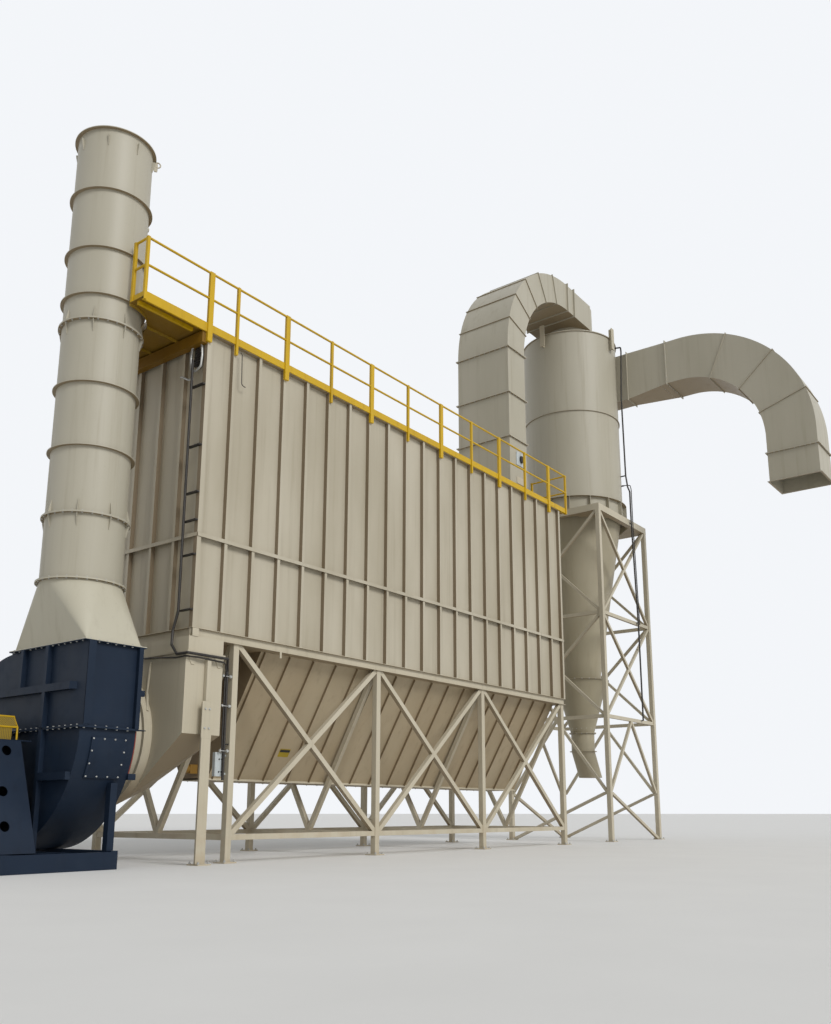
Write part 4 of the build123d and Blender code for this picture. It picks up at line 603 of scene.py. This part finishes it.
# lifting lugs: four channels up the barrel's side past the roof, and an eyed plate below the stack's rim
lug = {"turns": (177.0, 87.0, -3.0, -93.0), "height": 15.79, "web": (0.74, 0.13), "webAt": 1.575,
       "face": (0.74, 0.17), "faceAt": 1.63, "gauge": 0.022}
rimLug = {"turn": -32.0, "height": 11.79, "plate": (0.18, 0.07), "plateAt": 0.66, "gauge": 0.016,
          "eye": 0.05, "eyeThick": 0.012, "eyeAt": 0.69, "eyeUp": 0.05}
lugShape = {part: plate(pad(*lug[part], 0.12, 24), lug["gauge"], 0.004) for part in ("web", "face")}
lugOut, rimOut = level(lug["turns"]), level(rimLug["turn"])
lugSide, rimSide = np.cross(upward, lugOut), np.cross(upward, rimOut)
lugFoot, rimFoot = np.array((*cycloneAt, lug["height"])), np.array((*stackAt, rimLug["height"]))
addPiece("lifting_lugs",
         [spread(lugShape["web"], lugFoot + lugOut * lug["webAt"] - lugSide * lug["gauge"] / 2, lugSide, upward),
          spread(lugShape["face"], lugFoot + lugOut * lug["faceAt"], lugOut, upward),
          spread(plate(pad(*rimLug["plate"], 0.5, 24), rimLug["gauge"], 0.003),
                 rimFoot + rimOut * rimLug["plateAt"] - rimSide * rimLug["gauge"] / 2, rimSide, upward),
          spread(hoop(rimLug["eye"], rimLug["eyeThick"], rimLug["eyeThick"], 20),
                 rimFoot + rimOut * rimLug["eyeAt"] + (0, 0, rimLug["eyeUp"]), rimSide, upward)],
         plainBeige)

# thin conduits and rods: each has a finish, its slot and the runs, a path and a radius to each
conduits = {
    "cyclone_conduit": (conduitMetal, "dark_conduit", [
        ([(16.02, 0.262, 15.72), (16.05, 0.06, 15.7), (16.05, 0.05, 15.55), (16.05, 0.12, 13.93), (16.05, 0.1, 11.26),
          (16.05, 0.05, 10.86), (16.05, -0.01, 10.7), (16.05, -0.01, 9.7), (16.27, 0.02, 6.4), (16.29, 0.03, 3.5)],
         0.025),
        ([(16.17, 0.3, 11.0), (16.17, 0.02, 10.95), (16.17, -0.01, 10.8), (16.17, -0.01, 9.7), (16.37, 0.02, 6.45)],
         0.014)]),
    "corner_rod": (conduitMetal, "dark_conduit", [
        ([(-0.24, -0.1, 8.68), (-0.238, -0.132, 8.65), (-0.22, -0.132, 8.08), (-0.16, -0.132, 8.06),
          (-0.107, -0.1, 8.08)], 0.008)]),
    "wall_loop": (zinc, "bare_steel", [
        ([(-1.0, 0.13, 8.6), (-1.02, 0.0, 8.55), (-1.02, -0.02, 8.35), (-1.02, 0.0, 8.15), (-1.02, 0.13, 8.09),
          (-1.02, 0.25, 8.15), (-1.02, 0.27, 8.35), (-1.02, 0.25, 8.55), (-1.0, 0.13, 8.61)], 0.02),
        ([(-0.99, 0.55, 8.11), (-1.02, 0.5, 8.1), (-1.02, 0.3, 7.98), (-1.05, 0.16, 7.95)], 0.018)]),
    "neck_cable": (conduitMetal, "dark_conduit", [
        ([(-1.1, 0.95, 3.23), (-1.105, 0.5, 3.2), (-1.11, 0.1, 3.165), (-1.1, -0.14, 3.17), (-0.9, -0.185, 3.17),
          (-0.35, -0.185, 3.15), (-0.24, -0.1, 3.05), (-0.2, -0.03, 2.9), (-0.2, -0.03, 1.73)], 0.014)])}
for name, (finish, slot, runs) in conduits.items():
    addPiece(name, [tube(bent(path, 0.03), radius) for path, radius in runs], finish)

# saddle clips and brackets that hold the cyclone's conduit to the tower and the barrel
clip = {"strap": (0.11, 0.03), "gauge": 0.006, "places": [(16.1, 0.06, 9.68), (16.28, 0.05, 6.5), (16.28, 0.05, 3.5)],
        "bracketStrap": (16.05, 0.13, 11.26), "rod": 0.02,
        "brackets": [[(16.05, 0.29, 11.26), (16.05, 0.2, 11.26), (16.05, 0.08, 11.26)],
                     [(16.17, 0.33, 10.98), (16.17, 0.28, 10.98), (16.17, 0.22, 10.98)]]}
strap = plate(pad(*clip["strap"], 0.3, 24), clip["gauge"], 0.001)
addPiece("conduit_clips", [spread(strap, clip["places"], toFront, toCyclone),
                           spread(strap, clip["bracketStrap"], upward, toRear)]
         + [tube(path, clip["rod"], 6) for path in clip["brackets"]], conduitMetal)

# louvred cover inside the loop on the end wall: dark plate with slats
louvre = {"at": (-0.994, 0.09, 8.35), "size": (0.2, 0.36), "gauge": 0.02, "slat": (0.15, 0.022), "slatGauge": 0.012,
          "slats": 7, "reach": 0.13, "proud": 0.018, "tilt": (-1, 0, 0.45)}
louvreCover = plate(pad(*louvre["size"], 0.3, 32), louvre["gauge"], 0.004)
slatShape = plate(pad(*louvre["slat"], 0.4, 16), louvre["slatGauge"], 0.002)
slatPlaces = [louvre["at"] + np.array([-louvre["proud"], 0, rise])
              for rise in np.linspace(-louvre["reach"], louvre["reach"], louvre["slats"])]
addPiece("wall_louvre", [spread(louvreCover, louvre["at"], toFan, toRear),
                         spread(slatShape, slatPlaces, louvre["tilt"], toRear)], conduitMetal)
print("conduits run")

# yellow steel under the deck: a stiffener, and seats between toe boards and deck
deckSteel = {"stiffener": ((-2.29, 0.03, 8.735), (-1.2, 0.08, 8.8)),
             "platformSeat": ((-2.33, -0.129, 8.745), (-0.98, -0.099, 8.808)),
             "frontSeat": ((-0.98, -0.129, 8.775), (11.56, -0.108, 8.808)),
             "rearSeat": ((-0.98, 3.566, 8.775), (11.56, 3.587, 8.808))}
addPiece("deck_stiffener", [slab(*corners) for corners in deckSteel.values()], yellowPaint)

# small plates on the front: two on the beam, and two wedges under the neck
frontPlates = {"beam": [((-0.975, -0.112, 3.515), (-0.85, -0.098, 3.645)),
                        ((0.945, -0.112, 3.4), (0.985, -0.098, 3.52))],
               "wedge": [(-0.1, 0.0), (0.1, 0.0), (0.03, -0.16), (-0.03, -0.16)], "gauge": 0.012,
               "wedgeAt": [(-0.94, -0.1, 3.22), (-0.4, -0.1, 3.22)]}
wedge = plate(frontPlates["wedge"], frontPlates["gauge"], 0.003)
addPiece("small_plates", [slab(*corners) for corners in frontPlates["beam"]]
         + [spread(wedge, frontPlates["wedgeAt"], toFront, toCyclone)], plainBeige)

# the camera, solved from the photograph: metres, radians and pixels, with the sensor in millimetres
eye = {"at": (-10.427, -11.818, 0.781), "yaw": 0.9252, "pitch": 0.2203, "focal": 939.4,
       "centre": (424.4, 602.4), "width": 831, "height": 1024, "sensor": 36.0}

# hood stiffener: a bar over the points where three lines of sight meet the plenum
hoodBar = {"sights": [(0.6154, 0.8279, 0.1566), (0.6187, 0.8354, 0.1248), (0.6221, 0.8379, 0.1057)], "radius": 0.022}
hoodPath = np.concatenate([landing("fan_plenum", eye["at"], sight) for sight in hoodBar["sights"]])
addPiece("hood_stiffener", [tube(hoodPath, hoodBar["radius"], 8)], plainBeige)

# red seal down the fan's outlet side, laid on the casing
seal = {"x": -1.868, "bottom": 1.3, "top": 1.95, "radius": 0.011, "proud": (0.012, 0.006, 0)}
sealStarts = [(seal["x"], -2.0, z) for z in np.linspace(seal["bottom"], seal["top"], 14)]
sealPath = landing("fan_scroll_lower", sealStarts, toRear) + seal["proud"]
addPiece("outlet_seal", [tube(sealPath, seal["radius"], 8)], sealRed)

# fan trim: two tabs on the outlet side, the pointed end of the split flange and a strip at the front corner
fanTrim = {"bars": [((-1.87, -0.06, 2.47), (-1.76, 0.0, 2.56)), ((-1.87, 0.06, 1.25), (-1.74, 0.13, 1.34))],
           "tip": [(-1.87, -0.105), (-1.71, -0.075), (-1.87, 0.12)], "tipHeight": 1.959, "tipGauge": 0.014,
           "strip": ((-2.79, -0.116, 2.0), (-2.67, -0.1, 3.18))}
flangeTip = plate(fanTrim["tip"], fanTrim["tipGauge"], 0.003)
addPiece("fan_trim", [slab(*corners) for corners in fanTrim["bars"]]
         + [spread(flangeTip, (0, 0, fanTrim["tipHeight"]), upward, toCyclone), slab(*fanTrim["strip"])],
         navyPaint)

# guard over the shaft: solid rims round the mesh at its two ends and along its folds
guard = {"folds": [(1.089, 1.81), (1.089, 1.985), (1.199, 2.144), (2.259, 2.144), (2.369, 1.985), (2.369, 1.81)],
         "near": -3.682, "far": -3.068, "rim": 0.014}
rims = [tube([(x, *fold) for fold in guard["folds"]], guard["rim"], 8) for x in (guard["near"], guard["far"])]
rims += [tube([(x, *fold) for x in np.linspace(guard["near"], guard["far"], 4)], guard["rim"], 8)
         for fold in guard["folds"][1:5]]
addPiece("guard_rims", rims, yellowPaint)

# pipe clamps on the corner column, and the screws of the switch box's lid
clamp = {"places": np.array([(-0.165, -0.045, z) for z in (2.96, 2.475, 1.752)]), "rod": 0.008,
         "strut": [(-0.09, 0, 0), (-0.04, 0, 0), (0.04, 0, 0), (0.105, 0, 0)],
         "boltAt": (((-0.09, -0.008, 0), 0.022), ((0.06, -0.008, 0), 0.028))}
addPiece("pipe_clamps", [spread(tube(clamp["strut"], clamp["rod"]), clamp["places"], upward, toCyclone)]
         + [spread(hexBolt(thread), clamp["places"] + offset, toFront) for offset, thread in clamp["boltAt"]],
         zinc)
lid = {"screws": [(x, 0.0, z) for x in (-0.215, -0.165) for z in (1.62, 1.42)], "thread": 0.014}
addPiece("lid_screws", [spread(hexBolt(lid["thread"]), lid["screws"], toFront)], darkRubber)

# plate without lettering on the hopper's front slope: yellow, with a dark band across its top
caution = {"sight": (0.7175, 0.7276, 0.0621), "slope": unit((0.0, -0.851, -0.525)), "size": (0.27, 0.17),
           "gauge": 0.004, "band": (0.25, 0.05), "bandGauge": 0.002, "bandUp": (0, -0.022, 0.036),
           "bandProud": 0.0065}
cautionAt = landing("hopper_front_slope", eye["at"], caution["sight"])
bandAt = cautionAt + caution["slope"] * caution["bandProud"] + caution["bandUp"]
addPiece("caution_plate", [spread(plate(pad(*caution["size"], 0.1, 24), caution["gauge"], 0.001),
                                  cautionAt, caution["slope"], toCyclone)], cautionYellow)
addPiece("caution_band", [spread(plate(pad(*caution["band"], 0.1, 24), caution["bandGauge"], 0.0005),
                                 bandAt, caution["slope"], toCyclone)], darkRubber)

# on the riser: a pale inspection door with a dark oval port, and a beige panel below
riserFittings = {
    "riser_door": {"at": (10.87, 0.879, 10.36), "size": (0.46, 0.4), "power": 0.12, "gauge": 0.02, "chamfer": 0.004,
                   "finish": boxGrey, "slot": "grey_enclosure"},
    "riser_panel": {"at": (10.87, 0.879, 9.72), "size": (0.44, 0.2), "power": 0.12, "gauge": 0.016, "chamfer": 0.004,
                    "finish": plainBeige, "slot": "beige_paint"},
    "riser_port": {"at": (10.87, 0.862, 10.36), "size": (0.16, 0.2), "power": 0.7, "gauge": 0.05, "chamfer": 0.012,
                   "finish": darkRubber, "slot": "dark_conduit"}}
for name, fitting in riserFittings.items():
    cover = plate(pad(*fitting["size"], fitting["power"], 32), fitting["gauge"], fitting["chamfer"])
    addPiece(name, [spread(cover, fitting["at"], toFront, toCyclone)], fitting["finish"])
print("small fittings placed")

# handles on the roof hatches: bent rod with two feet, and hinge barrels behind
hatch = {"middles": np.array([(0.32 + 1.3 * i, y, 8.875) for i in range(7) for y in (1.051, 2.406)]), "out": 0.4,
         "handle": [(-0.09, 0, -0.01), (-0.09, 0, 0.05), (0.09, 0, 0.05), (0.09, 0, -0.01)], "bend": 0.02,
         "rod": 0.008, "hinge": [(x, 0, 0.008) for x in (-0.06, -0.02, 0.02, 0.06)], "barrel": 0.012,
         "hingeApart": 0.3, "hingeBack": 0.5}
handle = tube(bent(hatch["handle"], hatch["bend"]), hatch["rod"])
hinge = tube(hatch["hinge"], hatch["barrel"])
addPiece("hatch_handles",
         [spread(handle, hatch["middles"] + (0, s * hatch["out"], 0), upward, toCyclone) for s in (-1, 1)]
         + [spread(hinge, hatch["middles"] + (s * hatch["hingeApart"], hatch["hingeBack"], 0), upward, toCyclone)
            for s in (-1, 1)], zinc)

# motor: cooling fins round the frame but not under it, a fan cowl's grille and a lifting eye
motor = {"y": 1.729, "z": 1.966, "middle": -4.4, "radius": 0.33, "fins": 44, "lowest": -0.55, "finGauge": 0.006,
         "fin": [(-0.36, -0.01), (0.36, -0.01), (0.35, 0.018), (-0.35, 0.018)], "cowlX": -4.88,
         "rings": (0.05, 0.1, 0.15, 0.2, 0.25), "ring": [(0, -0.004), (0.012, -0.004), (0.012, 0.008), (0, 0.008)],
         "spokes": 10, "spoke": 0.006, "spokeX": -4.885, "spokeAt": (0.05, 0.15, 0.26),
         "eyeAt": (-4.4, 1.729, 2.335), "eye": 0.04, "eyeThick": 0.011,
         "boltAt": (-4.4, 1.729, 2.288), "thread": 0.02}
finOut = np.roll(circleSpots((0, 0), 1, 0, motor["fins"]), 1, axis=1)
finOut = finOut[finOut[:, 2] > motor["lowest"]]
finAt = (motor["middle"], motor["y"], motor["z"]) + motor["radius"] * finOut
finShape = plate(motor["fin"], motor["finGauge"], 0.0015)
addPiece("motor_fins", [spread(finShape, finAt, np.cross(toCyclone, finOut), toCyclone)], navyPaint)
grille = [spread(lathe([(r + out, z) for out, z in motor["ring"]], 48, True),
                 (motor["cowlX"], motor["y"], motor["z"]), toFan) for r in motor["rings"]]
for a in np.arange(motor["spokes"]) * 2 * np.pi / motor["spokes"]:
    grille.append(tube([(motor["spokeX"], motor["y"] + r * math.cos(a), motor["z"] + r * math.sin(a))
                        for r in motor["spokeAt"]], motor["spoke"], 6))
addPiece("motor_cowl", grille, darkRubber)
addPiece("motor_eye", [spread(hoop(motor["eye"], motor["eyeThick"], motor["eyeThick"], 24), motor["eyeAt"], toRear),
                       spread(hexBolt(motor["thread"]), motor["boltAt"], upward)], zinc)
print("roof and motor fitted")


def setCamera(look):
    ahead = Vector((math.sin(look["yaw"]) * math.cos(look["pitch"]),
                    math.cos(look["yaw"]) * math.cos(look["pitch"]), math.sin(look["pitch"])))
    right = Vector((math.cos(look["yaw"]), -math.sin(look["yaw"]), 0))
    up = right.cross(ahead)
    lens = bpy.data.cameras.new("camera")
    lens.sensor_width = look["sensor"]
    lens.lens = look["focal"] * look["sensor"] / look["height"]
    lens.shift_x = (look["width"] / 2 - look["centre"][0]) / look["height"]
    lens.shift_y = (look["centre"][1] - look["height"] / 2) / look["height"]
    lens.clip_end = 1000
    camera = bpy.data.objects.new("camera", lens)
    camera.matrix_world = Matrix.Translation(look["at"]) @ Matrix((right, up, -ahead)).transposed().to_4x4()
    bpy.context.scene.collection.objects.link(camera)
    bpy.context.scene.camera = camera


def addSun(name, look):
    lamp = bpy.data.lights.new(name, "SUN")
    lamp.energy = look["strength"]
    lamp.angle = math.radians(look["degrees"])
    thing = bpy.data.objects.new(name, lamp)
    thing.rotation_euler = (-Vector(look["towards"])).to_track_quat("-Z", "Y").to_euler()
    bpy.context.scene.collection.objects.link(thing)


def setWorld(light, back):
    # a soft even light, and a near white backdrop for the camera and for reflections
    world = bpy.data.worlds.new("studio")
    world.use_nodes = True
    bpy.context.scene.world = world
    net = Net(world.node_tree)
    net.tree.nodes.clear()
    eyeRay, glassRay, glossRay = (net.node("ShaderNodeLightPath", output=ray)
                                  for ray in ("Is Camera Ray", "Is Transmission Ray", "Is Glossy Ray"))
    seen = net.maths("MAXIMUM", net.maths("MAXIMUM", eyeRay, glassRay), glossRay)
    glow = net.node("ShaderNodeBackground", None, {"Color": light["colour"], "Strength": light["strength"]})
    white = net.node("ShaderNodeBackground", None, {"Color": back["colour"], "Strength": back["strength"]})
    either = net.node("ShaderNodeMixShader", None, {0: seen, 1: glow, 2: white})
    net.node("ShaderNodeOutputWorld", None, {"Surface": either})


def layFloor(look):
    # flat rings about a centre: (x + r cos a, y + r sin a, z), closed in the middle by one face
    rings = np.stack([circleSpots(look["centre"], r, look["height"], look["spokes"]) for r in look["rings"]])
    mesh = bpy.data.meshes.new("floor")
    mesh.from_pydata(rings.reshape(-1, 3).tolist(), [], gridFaces(*rings.shape[:2])[:, ::-1].tolist()
                     + [list(range(look["spokes"]))])
    floor = bpy.data.objects.new("floor", mesh)
    bpy.context.scene.collection.objects.link(floor)
    coat = Coat("floor_paint")
    mottle = coat.noise(look["mottles"], detail=5)
    coat.set("Base Color", coat.blend(mottle, look["colour"], look["pale"]))
    coat.set("Roughness", look["rough"] + 0.1 * mottle)
    mesh.materials.append(coat.material)


# lamp, soft light, backdrop and floor; a colour of 1 is white
sun = {"towards": (-0.14, -0.82, 0.57), "strength": 1.75, "degrees": 24}
sky = {"colour": (0.96, 0.98, 1.0, 1), "strength": 0.44}
backdrop = {"colour": (0.9, 0.92, 0.95, 1), "strength": 1.0}
ground = {"centre": (6, 0), "rings": (8, 30, 90, 260, 700), "spokes": 48, "height": -0.001,
          "colour": tone(226, 225, 222), "pale": tone(234, 233, 230), "mottles": 0.8, "rough": 0.75}
setCamera(eye)
addSun("key", sun)
setWorld(sky, backdrop)
layFloor(ground)
bpy.context.scene.view_settings.view_transform = "Standard"
print("camera, lights and floor set")
